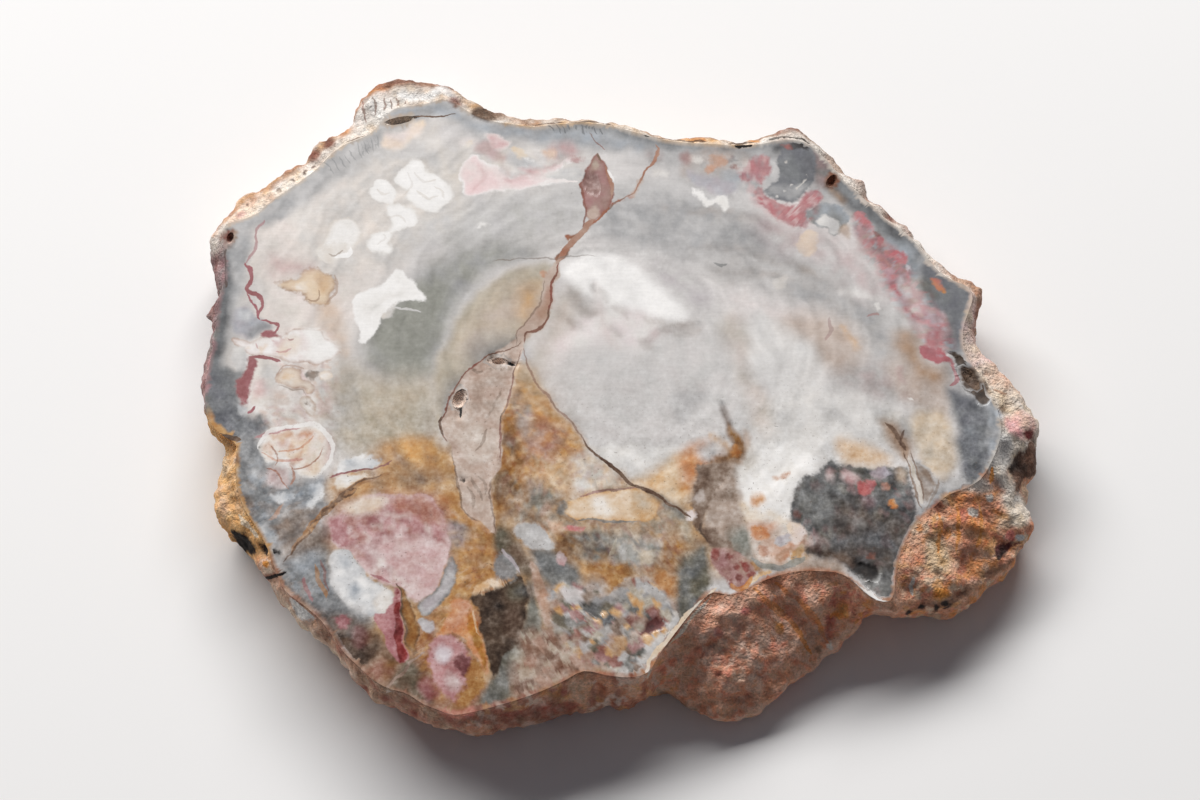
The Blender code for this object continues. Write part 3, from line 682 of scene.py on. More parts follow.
# %% Paint the low ground
draw("""
patch honey/tan 1.1: -26.5,-6.8 -24,-5 -20,-4.5 -18.3,-6 -17,-8 -17.3,-10.5 -20,-11.5 -25,-11.2
    -29.5,-12.6 -30.5,-12.5 -29,-10 -26,-9.3
patch tan/olive 0.8 0.5: -25,-9 -22,-8 -19,-8.5 -18.5,-10 -22,-10.8 -26,-10.8
patch ochre/amber 0.8: -11.4,1 -10,-2 -8.5,-1.5 -9,-6 -8,-9.5 -9.5,-13 -11.5,-14.5 -12.5,-11 -11.6,-6
    -11.3,-2
patch honey/tan 0.6: -10,5 -8.5,3.5 -6,0.5 -3.8,-2.6 -2.3,-4.6 -1.2,-6.6 -3,-7 -6,-7.5 -8.6,-6 -9,-1.5
    -10.2,1
patch sand/honey 0.8 0.7: -8.4,4.8 -6.6,1.8 -7.5,0.5 -9,1.5 -9.6,4
patch orange/ochre 0.8 0.5: -7.4,-1.4 -5.4,-2.4 -4.4,-4.6 -6,-5 -7.8,-3.6
patch mauve/rose 1.3 0.5: -7.6,-3.5 -5.2,-3.3 -4,-5 -5.5,-7.3 -7.6,-6.8 -8.4,-5
patch lavender/stone 0.7 0.7: -9.3,-1 -8,-1.2 -7.8,-3.5 -8.6,-4.8 -9.4,-3
patch slate/umber 0.5 0.7: -11.5,-4.3 -10.6,-4.2 -9.2,-5.8 -10,-6.5 -11.4,-5.6
patch umber/moss 0.8 0.8: -12.3,-9 -10,-9.5 -8.6,-10.5 -9.6,-12.5 -11.8,-12.6
patch honey/apricot 0.8: -8.5,-8.2 -5,-7.8 -2.8,-9 -3.5,-11.5 -6,-11 -8.8,-11.2
patch pearl/cream 0.9: -4,-7.5 0,-7.3 2,-8.8 1.5,-11 -1.5,-11.6 -4.8,-11.6 -5.5,-10
patch honey/cream 0.9 0.8: -6.4,-8 -4,-7.6 -2.8,-9 -3.6,-11.4 -6,-11.6
patch cloud/pearl 0.9: -1.2,-7 1.5,-8 4,-10 8,-8.5 9,-6 5,-6 0,-5.5
patch cream/honey 0.9: 3.5,-10.2 6.5,-8.8 9.5,-6.8 11.8,-7.4 11,-10.5 10,-13 8,-12.4 5.6,-11
patch apricot/orange 0.8 0.8: 9.8,-6.6 12.3,-5 14,-5.7 13.5,-7.6 11.5,-9.6 10,-11.2 9.4,-9
patch pearl/bluegrey 0.7 0.9: 11.8,-5.8 13.5,-5 14.3,-6 12.8,-7.6 11.6,-7
patch tan/sage 0.8: -9,-11.5 -5.5,-11.5 -4,-12.2 -4.2,-15 -6,-15.6 -9.5,-15 -10.3,-13
patch bluegrey/sage 0.6 0.6: -8.4,-9.6 -7,-9.5 -6.2,-10.6 -7.2,-12.8 -8.2,-12
patch sand/tan 0.9: 2.5,-15.3 7,-14.6 9.8,-13 11,-16 10.5,-19.5 7,-18 3,-17
patch tan/sand 0.7 0.8: -5.5,-15.3 -1.5,-15.1 3,-15.4 7.5,-15.4 8.5,-17.5 4,-17.6 -0.5,-16.6 -4.5,-17.5
patch ochre/tan 0.7: 6.3,-17.4 9,-16.5 10.4,-18.3 9.6,-21 10,-24 8,-24.3 6.5,-22 5,-20.5 6.8,-19.5
patch tan/honey 0.6 0.7: 9.3,-19.4 11.6,-18.6 12,-20.5 10.6,-22 9.3,-21.4
patch dusk/slate 0.5: -7.2,-18.3 -5,-18.2 -3.8,-19.6 -2,-20.6 -1.8,-22.6 -3.5,-23.3 -5.6,-22.6 -7,-20.6
patch moss/umber 0.6: -10.5,-15.5 -9.2,-17.5 -8,-19.3 -7,-21.5 -8.5,-21.5 -11,-19.5 -12,-17.5 -11.8,-15.7
patch umber/amber 0.6 0.9: -4.6,-16.8 -2,-16.7 -1.6,-19 -3,-20.3 -4.6,-18.8
patch dusk/iron 0.7: -1.9,-16.6 0.6,-16.4 1.6,-17.6 1.2,-19.6 -1,-20.1 -2,-18.5
patch sage/silver 0.6: 1.5,-17 7,-17.4 7,-20 4.5,-20.6 1.2,-20.3 1.8,-18.6
patch amber/ochre 0.4: -1.2,-20.2 1.5,-20.2 4.2,-20.2 4.3,-21.4 3.4,-22.7 2.6,-24.2 1.6,-23.3 0.4,-21.9
    -0.6,-21
patch moss/slate 0.5: 9.6,-20.3 12,-18 13,-20.5 13,-23 12,-24.4 10.2,-26.5 9,-26.8 9.4,-24
patch ash/buff 0.5: -6,-23 -3,-23 0,-22.3 2,-24.6 5,-21.8 8,-24 9.4,-25.4 8.8,-28 7.4,-30.6 6,-33 3,-33.5
    -1,-32 -3,-31 -5,-28.4 -5,-25
patch buff/terracotta 0.6: -8.8,-29 -7,-28 -5,-28.3 -3,-30 -1,-31 0.5,-32.5 -1.5,-33.5 -3,-35.5 -6,-35.5
    -8.5,-36 -9.4,-33
patch dusk/moss 0.5: -10.4,-28.6 -8.8,-29.2 -8.8,-32 -9.6,-36 -12,-37.6 -13,-36 -11,-33
patch sage/olive 0.4: -8,-22 -7.3,-23.5 -6.6,-26 -6.2,-28 -7.5,-28.3 -8.8,-29 -8,-26
patch tan/olive 0.5: -25.2,-29.3 -23.6,-30.2 -22,-32 -20.6,-31.2 -21.4,-33 -23.4,-35.2 -26.8,-32.6 -26,-31
patch rust/amber 0.7 0.7: -24.8,-32.2 -22.4,-32.2 -22.6,-34.3 -24.6,-34.4 -26,-33
patch umber/moss 0.6: -22,-32.5 -20,-31 -18.8,-33.5 -18.3,-37 -21.5,-36 -23.3,-35
patch ochre/honey 0.5: -17,-11.5 -15.5,-13.5 -13.4,-15.4 -12,-17 -11.6,-20 -12,-22.3 -14,-23.2 -15.3,-26
    -18,-28.6 -17.6,-24 -16.3,-21 -17.4,-17 -19.4,-12.8
patch stone/lavender 0.5 0.9: -17.4,-15.4 -15.2,-15.2 -14.6,-16.8 -15.6,-18.2 -17.2,-18
patch honey/rust 0.7 0.6: -14.2,-16.4 -12.8,-17 -12,-19.5 -13,-21.8 -14.8,-21.5 -14.9,-18.6
patch ochre/rust 0.5: -20.4,-28.4 -18.8,-28.5 -17.6,-30 -18.5,-32.5 -20,-33 -20.8,-31
""")

# %% Paint the right of the low ground
draw("""
patch taupe/beige 0.7: 13.3,-8 15.4,-7.5 16.5,-9.5 16.6,-13 17,-15.5 15.2,-17.5 12.8,-16 12.4,-12
patch pearl/white 0.6: 16.8,-5.5 20,-5.3 24,-6.5 25.2,-8.3 23.3,-10.3 22.4,-12.6 21.8,-15 19,-15.2
    17.2,-14.3 16.2,-11.5 15.9,-8.5
patch cream/pearl 0.6 0.9: 16.5,-13 19,-13.6 21.5,-15 20.8,-16.2 17.8,-15.6
patch sage/taupe 0.6: 14.6,-16.5 17.2,-15.7 18.2,-18.5 19.4,-20.2 17.2,-20 15.2,-18.6
patch bone/apricot 0.4: 17.4,-15.4 21,-15.2 24,-16.4 23.8,-19 21.6,-20.2 19,-20 17.8,-18
patch beige/taupe 0.4: 20.5,-20.9 24,-19.8 27,-19.8 28.8,-21.6 26.6,-21.9 25,-22.3 22,-21.8
patch honey/peach 0.9 0.75: 27.8,-5 30.4,-5.4 33.2,-6.8 33,-8.2 30,-8 28,-7.6
patch cream/linen 0.9 0.9: 36.8,-1.6 39.8,-1.4 40.8,-4 41,-8 39.8,-9.6 38,-8.8 36.6,-6 36.2,-3.4
patch silver/cloud 0.3: 36.2,-7.6 38,-8.2 39,-10.2 40.8,-9.8 42.4,-10.2 41,-11 39,-10.6 38.4,-12.4
    37.5,-13.6 36.6,-11.4
patch taupe/silver 0.3: 36.4,-8 37.8,-8.4 38.6,-10.3 38.2,-12.2 37.5,-13.2 36.8,-11
patch sand/stone 0.8 0.5: 33,-1.5 36,-2.8 36,-5 35,-7 33.4,-5.4 32.3,-3.2
patch tan/umber 0.8: 32.5,-2.8 33.8,-2.9 35.6,-4.2 36,-5.6 35.2,-7.4 34,-5.6
patch iron/dusk 0.3: 22,-14.6 22.3,-12.8 23,-11 24,-9.7 25.4,-8.8 26.7,-7.4 27.6,-8.4 29,-8 32,-8.5
    33.8,-8.2 35.3,-8.5 35.8,-10.8 36.4,-12.6 36.2,-14.4 35.2,-16.8 34.4,-19.5 34,-22 34.2,-24.8
    32.6,-24.4 30.8,-23.3 29.5,-21.5 27,-19.4 24,-19 25,-17.5 23.5,-15.8
mosaic iron/coal/dusk/mauve/moss/slate 0.75 42 0.6 0.4: 23,-12 27,-8.6 34,-9 36,-13 34,-20 33,-24 29,-20.5
    24,-18.6
patch iron/olive 1 0.75: 27.5,-13 30,-12.5 33,-14 35.6,-13.5 35,-16.5 34,-19.5 33.2,-21 30,-20.6 27,-18.6
    26.6,-15.5
patch dusk/slate 0.8 0.7: 22.6,-13.5 24.5,-10.6 26.5,-9.8 27.4,-12.5 26.5,-15.5 24,-15.2
patch coal/black 0.3: 29.2,-19.9 30.6,-20.2 31.9,-20.9 32.2,-22.3 31,-22.6 30.4,-22.1 29.4,-21
patch iron/dusk 0.4: 32.6,-21 33.6,-22 34,-24.4 32.8,-23.8 31.8,-22.6
patch sand/taupe 0.8 0.5: 15.4,-5.8 17.4,-5.6 18.2,-7 17.4,-8.8 16,-8.4
patch ochre/rust 0.7 0.85: -16,-33.6 -13.6,-33.4 -12.4,-35 -13.4,-37.4 -15.6,-37
mosaic amber/olive/gold/sage/rust/cream/tan 0.6 63 1 0.3: -10,4 -3,-4 4,-10 10,-14 9,-22 -2,-20 -9,-16
    -11.6,-8
mosaic amber/honey/rust/tan/olive/beige 0.6 64 0.8 0.3: -18,-13 -13,-16 -12,-22 -15,-26 -13,-33 -17,-36
    -21,-31 -18,-24
mosaic ash/slate/taupe/dusk/bluegrey 0.7 66 1 0.3: -40,-7 -34,-10 -31,-11 -32,-16 -36,-20 -30,-23 -36,-24
    -41,-12
mosaic apricot/rose/pearl/buff/white/mist 0.6 71 1 0.25: -41,2 -38,8 -32,9 -31,2 -32,-4 -39,-4
""")

# %% [markdown]
# Over the ground lie the crisp figures, each with its own border: the opal flowers, the star, the agate
# feathers on the left, the pink heart and the wedges below it.

# %% Paint the figures on the left
draw("""
patch cloud/bone 2 0.7: -37,22 -30,30 -23,33.5 -16,31.6 -16,26 -20,21 -26,16.6 -33,15.4
patch white 0.15 1 pearl 0.2: -28.4,27 -27.8,28.2 -26.6,28.4 -25.6,27.8 -24.9,26.4 -25.2,25.3 -26.2,25.4
    -27.4,25.7 -28.2,26.2
patch white 0.22 1 pearl 0.2: -25,28.9 -24,30 -23.3,31 -22.4,31.2 -21.6,30.4 -21.2,29.6 -20,29.2 -19,28.6
    -18.2,27.4 -18.2,26 -19.3,25.1 -20.4,24.3 -21.7,24.4 -22.6,25.3 -23.6,26.2 -23.4,27.2 -24.3,27.7
    -25.2,28.2
patch white 0.25 1 pearl 0.2: -26,24.7 -25,25.3 -23.8,25.2 -22.8,24.4 -22.3,23.2 -23.2,22.2 -24.6,21.5
    -25.4,20.4 -24.8,19.2 -26,18.8 -27.4,19 -28.3,20 -27.9,21.2 -26.8,21.7 -25.4,21.8 -25.2,23
patch white/pearl 0.3 1 bone 0.3: -32.6,22.4 -31.3,23.6 -30,23.2 -29.2,21.8 -29.4,20 -30.6,18.4 -32.4,17.8
    -34.2,18.4 -33.6,20.4
stroke linen/mist 0.3 0.25 0.3: -22.8,29.6 -21.6,28.4 -20.2,28.6; -22.4,27.2 -21.2,25.8 -19.8,26.4;
    -24,26.6 -23,28 -23.6,29.4; -20.6,27.6 -19.4,27.2 -19.2,26; -25.8,23.6 -24.4,23.8 -23.6,22.8; -27,20
    -26,20.8 -26.4,21.4; -27.6,27.4 -26.4,26.4 -25.6,26.6
stroke taupe 0.25 0.12 0.6: -32.6,19 -31.8,18.6 -31,19.4
patch pearl/white 0.3: -31.2,23.2 -30.2,22.9 -29.8,21.6 -30.3,20.6 -31.4,20.3 -31.8,21.4
patch pearl/bone 0.3: -31.9,20.4 -30.4,20.4 -30.4,19.2 -31.4,18 -32.6,17.7 -33.8,18.4 -34.2,19.3 -33,19.7
stroke white 0.8 0.2: -31.8,18.4 -30.2,18.6 -30,19.6
patch peach/pink 0.4: -26.4,35.2 -24.6,34.9 -23,36 -22.2,36.4 -21.8,35.6 -23,34.2 -24.8,33 -26.2,32.8
    -26.9,33.8
patch cream/peach 0.3 1 tan 0.25: -38.8,14.8 -37.5,15.5 -36,15.7 -35.3,16.7 -34.3,16.8 -33.3,16.3 -32.3,16
    -31.7,15 -31.8,13.5 -32.3,12.4 -33.5,12.2 -34.8,12.2 -35.5,13.2 -37,14
patch honey/tan 0.4 0.55: -34.3,15.8 -33,16 -32.2,15 -32.6,13.6 -33.8,14.2
patch cream/white 0.3 0.8: -36.6,14.7 -35.4,15.1 -35,14.2 -35.8,13.7
stroke tan 0.25 0.12 0.8: -35,12.8 -34,12.6 -33.2,13.2 -33.6,14
stroke buff/tan 0.3 0.2 0.6: -31.8,16 -31.4,14.5 -31.7,13 -32.6,12.2
patch tan/honey 0.9 0.4: -33.6,12 -32,12.6 -31.2,12.2 -30.6,10 -29.6,7 -30,5.4 -31.2,6.4 -31.8,8.4 -33,9.8
patch rose/bone 1.2 0.5: -39.5,18.5 -36,18 -34.6,16.8 -37,16.3 -39,15.8
patch white/pearl 0.2 1 white: -24.3,16.9 -23.2,15.8 -22,14.6 -21,13.4 -20.7,12.8 -22,12.8 -24,13
    -24.1,12.3 -24.8,11.4 -25.3,11.2 -25.8,10.6 -26,9.8 -26.6,8.8 -27.3,7.8 -28,7 -28.5,7.6 -28.5,9
    -29,10.5 -29.6,12 -29.2,13.4 -27.5,14 -26,14.6 -25.3,15.8
patch cloud/bone 0.25: -24.4,12.6 -24.6,11.8 -25.8,10.8 -25.2,10.5 -24.4,11.3
stroke bone/sage 0.4 0.4 0.3: -27.6,10.4 -26.6,12 -25,13.2 -23.6,14.2
stroke cloud 0.3 0.15: -24.4,11.7 -23,11.5 -21.3,11.1
patch lavender/bluegrey 0.4: -43.8,10.6 -43,11.9 -42,11.9 -41,10.9 -39.6,9.9 -39.3,9.3 -40.4,8.3 -41.4,7.6
    -42.4,8.2 -43.5,8.8
patch bluegrey/white 0.5 0.8: -43.4,10.8 -42.6,11.7 -41.8,11.5 -41.6,10.4 -42.6,10.2
patch slate/stone 0.4 0.8: -41.5,9.2 -39.8,9.8 -39.3,9.3 -40.4,8.3 -41.4,7.7 -41.9,8.4
patch pink/white 0.15 1 buff 0.15: -43.6,8 -42.4,7.8 -41.5,7.2 -39.9,7.9 -38.2,8.2 -36.3,9 -34.6,9.2
    -33.2,9 -32.3,7.8 -31,6.6 -30.6,5.6 -31.8,5 -33.6,4.6 -36,4.9 -38,5.3 -40,5.4 -41.6,5.7 -42.4,6.4
    -43.2,6.9
mosaic white/pink/peach/white/rose/pearl 0.8 51 0.5 0.5: -42,7 -39,8 -34,8.8 -31.4,6 -35,5.2 -41,6
patch white/pearl 0.4: -35,9 -33.6,9.2 -32.3,7.8 -31,6.6 -31,5.5 -33,4.9 -34.6,5.4 -34.2,7.2
patch peach/bone 0.5 0.6: -37.6,7.9 -36,8.2 -35.2,7.2 -36,6.1 -37.8,5.8
stroke mauve 0.22 0.12 0.8: -37,7.8 -36.5,7.5 -36,7.7
stroke rose 0.25 0.12 0.7: -38.2,6.2 -37,6.1 -36,6.5
stroke rose 0.3 0.15 0.6: -40.5,7.2 -40.2,6.6
patch silver/pearl 0.3: -43.3,6.7 -42.3,6.4 -41.8,5.4 -41.7,4.2 -42.1,3.5 -42.9,3.7 -43.4,4.8
patch slate/dusk 0.4 0.8: -44.2,4 -43.2,3.6 -42.4,3.6 -41.7,3 -42.6,2.4 -44,2.8
patch bone/cloud 0.4: -40.8,4.8 -38,4.5 -36.5,3.8 -38,1.8 -38.8,-0.4 -39.8,-0.8 -41,0.6 -41,2.6
patch rose/blush 0.6 0.6: -40.4,2.8 -39.2,2.6 -38.8,1 -40,0.2 -40.8,1
patch red/crimson 0.25: -41.7,5.4 -40.6,5.1 -40.7,3.4 -41,2 -41.2,0.3 -41.4,-0.8 -42,-0.7 -42.5,0.6
    -43.2,2 -42.2,3 -41.6,4.2
stroke red 0.5 0.15: -41.6,5.4 -40.2,5.2 -38.8,5 -37.4,4.9
stroke red/crimson 0.55 0.15: -42.6,18 -41.6,16.5 -41.8,15 -42.2,14 -41,13.2 -40.3,12 -40.6,11.2
    -40.3,10.2
stroke crimson 0.4 0.25 0.6: -40.9,23.2 -41.6,21.4 -41.4,19.6 -41.8,18.4 -42.6,17.6
stroke crimson 0.25 0.12: -42.2,13.6 -41.5,12.6 -40.9,11.6 -40.4,10.4
stroke red/crimson 0.35 0.12: -40.3,10.1 -39.3,9.9 -38.6,9.5 -38.8,8.8 -40,8.2
patch crimson/red 0.15: -40.2,8.1 -39.4,8.9 -38.4,8.4 -37.2,8.8 -38.4,8.1 -39.3,7.9
stroke crimson 0.35 0.15: -41.4,-1.9 -40.7,-1.4 -40.2,-0.8
patch bluegrey/pearl 0.3 0.8: -42.6,-0.8 -41.8,-1.2 -41.4,-1.9 -42.4,-2.1
patch iron/slate 0.4 0.8: -40.6,-2.6 -39.8,-1.9 -39.4,-2.8 -39.9,-3.6 -40.6,-3.4
patch bone/peach 0.15 1 buff 0.2: -37.8,3 -37.3,4.2 -36,4.4 -35.3,3.6 -35,2.6 -34.1,2.2 -33.3,1.6
    -33.5,0.7 -34.3,0.6 -35,1.4 -36.4,1.5 -37.3,2
stroke buff 0.18 0.12 0.7: -37.9,3 -37.4,4.3 -36,4.6 -35,3.8
stroke taupe 0.18 0.12 0.6: -37.7,2.1 -36.4,1.3 -35,1.2 -34.4,0.4
patch peach/honey 0.3 0.8: -36.9,3.4 -36.3,3.7 -35.7,3.2 -36.2,2.6 -36.9,2.7
patch taupe/dusk 0.25: -34.9,3.3 -34,3.6 -33.2,3.3 -33.5,2.6 -34.6,2.7
patch white/pearl 0.2 1 peach 0.2: -33.1,3.5 -32.1,3.7 -31.4,3.1 -32.2,2.6 -33.1,2.8
patch pearl/bone 0.15 1 tan 0.2: -35.3,0 -34.6,0.4 -33.7,0.1 -33.3,-0.8 -33.4,-2 -34.1,-1.9 -34.7,-1.2
    -35.3,-0.7
patch taupe/dusk 0.15: -34.8,-0.2 -34.1,-0.2 -33.7,-0.6 -34.2,-0.8
patch bone/peach 0.25 1 pearl 0.5: -38.6,-4 -37.3,-3.5 -35.3,-3 -33.4,-3.3 -32,-4.5 -31.3,-6 -31.2,-7.7
    -32.5,-9.3 -34.5,-9.3 -35.4,-8 -37.4,-7.2 -39,-7.6 -39.2,-5.6
patch apricot/peach 0.4 0.8: -36.6,-4.6 -35.3,-4.1 -34,-3.6 -33.4,-4.2 -34,-5.6 -35.2,-5.8 -36.4,-5.4
patch apricot/rose 0.4 0.7: -37.6,-5.2 -36.6,-5 -36,-5.7 -37.2,-6
stroke rose/crimson 0.4 0.2 0.8: -40.2,-4.6 -38.6,-4.1 -36.6,-3.6 -35,-3.5
stroke apricot 0.25 0.12 0.8: -37.6,-6.4 -36,-6.4 -34.4,-5.8 -33.4,-4.6
stroke terracotta 0.22 0.15 0.7: -38.8,-8.4 -37.6,-8.6 -36.6,-10 -36,-11
stroke apricot/rose 0.3 0.15 0.7: -39.2,-6.4 -37.6,-7.4 -35.6,-7.6 -34.2,-7.2
stroke terracotta/apricot 0.3 0.15 0.7: -36,-8.2 -35.2,-9.2 -35.8,-10.4
patch pink/mauve 0.4 0.8: -38.6,-8.4 -36.8,-8.4 -35.9,-10 -36.8,-10.9 -38.4,-10.2
stroke white/pearl 0.6 0.25 0.8: -39.6,-6 -38.6,-4 -36,-3.2 -33.6,-3 -31.8,-4.6 -31,-6.8 -32,-9
stroke terracotta 0.2 0.12 0.7: -35.6,-8.6 -34,-8.2 -32.6,-7.4 -32.2,-6; -38.4,-5.4 -37.6,-6.8 -37.8,-8
mosaic pink/peach/white/apricot/bone 0.8 52 0.6 0.45: -38.6,-4.4 -35,-3.6 -32.4,-5 -32.4,-8.6 -35.4,-8.6
    -38.6,-7
stroke rose/mauve 0.7 0.5 0.5: -32,-4 -31.3,-6 -31.6,-8
patch white/bluegrey 0.3: -37.7,-11.6 -36.4,-11.5 -35.3,-11.9 -36,-12.4 -37.4,-12.2; -33,-10.4 -32,-10.6
    -31.6,-11.8 -32.2,-12.8 -33,-14 -33.4,-13 -32.9,-12 -33.2,-11.2
patch bluegrey/pearl 0.4 0.8: -38.6,-15.2 -37.6,-15.8 -36.8,-17 -37.8,-17.2 -38.4,-16.4
stroke apricot/buff 0.5 0.25 0.6: -36.4,-12.6 -37,-14 -37.8,-14.8
patch white/bluegrey 0.3: -30.6,-9.4 -29.8,-7.8 -28.6,-6.9 -26.8,-6.7 -25.4,-7.4 -26,-8.2 -27.6,-8.8
    -29,-8.9
patch pearl/cream 0.3: -30.6,-10.2 -29.2,-9.3 -27.4,-9.2 -26.2,-9.8 -28,-10.4 -29.6,-10.9
stroke crimson/umber 0.3 0.15 0.9: -31.2,-9.7 -29.6,-9.1 -27.6,-8.7 -25.6,-8.3 -24,-7.8
stroke ochre/tan 0.8 0.25 0.9: -24,-9 -26,-9.8 -28,-10.8 -29.6,-11.9 -31,-13.4 -32.5,-15 -34,-16.9
    -35.1,-18.8
stroke umber 0.28 0.12 0.8: -25,-9.3 -27,-10.1 -29,-11.3 -30.5,-12.7 -32,-14.2 -33.5,-15.9
stroke umber/bark 0.3 0.15 0.8: -28,-11.2 -30,-12.8 -31.6,-14.4 -33.2,-16.2 -34.8,-18.4 -35.8,-20
patch pink/rose 0.25: -30.8,-14.6 -29.8,-14.2 -28,-12.6 -26,-11.8 -23.6,-12 -21.5,-11.6 -19.5,-11.8
    -18.3,-13.6 -17.3,-15.6 -16.9,-18 -17.6,-20.6 -18.6,-22.8 -19.9,-24.6 -21.1,-24.5 -22.4,-23.4
    -24,-22.9 -25.6,-22.1 -27,-20.4 -28.4,-18.7 -30,-18.1 -30.9,-16.5
patch rose/mauve 1.6 0.85: -30.8,-14.8 -28,-12.8 -24,-12.2 -19,-12 -17.6,-15 -18,-17.5 -22,-17 -26,-18
    -28.6,-18.4 -30.6,-17
mosaic rose/pink/mauve/terracotta/red/bone 0.8 41 0.8 0.35: -30,-15 -25,-13 -19,-13 -17.4,-17 -20,-24
    -26,-21
patch peach/bone 0.5 0.9: -29.3,-13.6 -27.6,-12.2 -25.4,-12 -24.6,-13 -26,-14.2 -28,-14.4
patch terracotta/apricot 0.6 0.65: -24,-12.6 -21.4,-11.8 -19.6,-12.2 -17.8,-14.8 -19,-15.4 -21.4,-14.2
    -23.6,-13.8
patch crimson/rose 0.3 0.75: -30.9,-15 -29.8,-14.6 -28.8,-15.8 -28.6,-17.4 -29.6,-18.1 -30.8,-16.8
patch rose/pink 0.8 0.6: -24,-17.4 -20.6,-17 -17.6,-17.6 -17.4,-20 -18.6,-22.8 -20,-24.4 -21.4,-23.6
    -23,-21 -24.4,-19.4
patch crimson/rose 0.35 0.7: -18.9,-15.2 -17.9,-15.6 -17.7,-17 -18.6,-17.4
stroke crimson 0.5 0.35 0.4: -28,-14.6 -25.6,-14.4 -23.4,-13.2 -21.4,-12.6
stroke crimson 0.3 0.15 0.7: -26,-21.4 -24.8,-22.2 -23.4,-22.8
patch white/bluegrey 0.2 1 silver 0.4: -30.7,-19 -30,-18.3 -28.5,-18.6 -27,-20.5 -25.5,-22.3 -24,-23.2
    -23.2,-24.5 -23.2,-26 -24.5,-26.5 -25.7,-26.7 -27,-25.6 -28.5,-25.1 -29.6,-23.8 -30.4,-21.6
patch pearl/peach 0.5 0.6: -24.2,-23.4 -23.3,-24 -23.2,-25.8 -24.6,-26.2 -25.4,-25
patch silver/lavender 0.2 1 dusk 0.25: -16.9,-19 -16.3,-20.5 -16.5,-22.5 -17.3,-24.5 -18.5,-26 -19.9,-26.3
    -19.9,-24.7 -18.8,-23.5 -17.8,-21.5
patch silver/lavender 0.2: -20.2,-26.6 -19.2,-26.5 -18.2,-27.9 -18.8,-28.5 -19.9,-28
patch rose/crimson 0.15: -23.1,-23.4 -22.4,-24.2 -22.2,-26 -21.9,-28 -21.5,-30 -21.3,-31.8 -22.2,-32
    -23,-31.3 -24,-29.5 -24.9,-27.8 -25.1,-26.4 -24,-26.1 -23.3,-25
patch ruby/maroon 0.15: -23,-23.6 -22.5,-24.6 -22.2,-26.6 -21.8,-29 -21.4,-31.6 -22.2,-31.9 -22.6,-29
    -22.9,-26.4
patch ochre/amber 0.15 1 olive 0.2: -22.7,-23.2 -21.6,-24.4 -20.6,-26 -20.2,-28 -20.3,-30 -20.8,-31.2
    -21.3,-30 -21.7,-27.5 -22.2,-25.2
stroke umber/olive 0.25 0.12 0.8: -22.8,-22.8 -22.2,-25 -21.8,-27.5 -21.3,-30
patch umber/coal 0.8 0.75: -31,-26.4 -28,-26.4 -25.4,-28.4 -25,-32 -27.4,-33 -30.6,-29.6
patch coal/umber 0.3: -29.6,-28.6 -28,-29 -26.4,-29.8 -25.3,-31 -25.8,-32.2 -27.4,-32 -29,-30.6
patch crimson/maroon 0.3 0.85: -29.7,-26.6 -28.6,-26.4 -27.8,-27.3 -28.6,-28.1 -29.6,-27.6
patch maroon/mauve 0.35 0.7: -27.4,-28 -26.2,-28.2 -25.8,-29.4 -26.6,-30.2 -27.4,-29.4
stroke crimson/mauve 0.5 0.25 0.7: -33.6,-21.8 -33.2,-23.4 -32.4,-24.6
stroke ochre/tan 0.6 0.3 0.7: -32.4,-20.6 -31.6,-22.4 -30.8,-24.2
stroke rust 0.35 0.2 0.5: -31.8,-20 -31,-21.6 -30.7,-23.4
""")


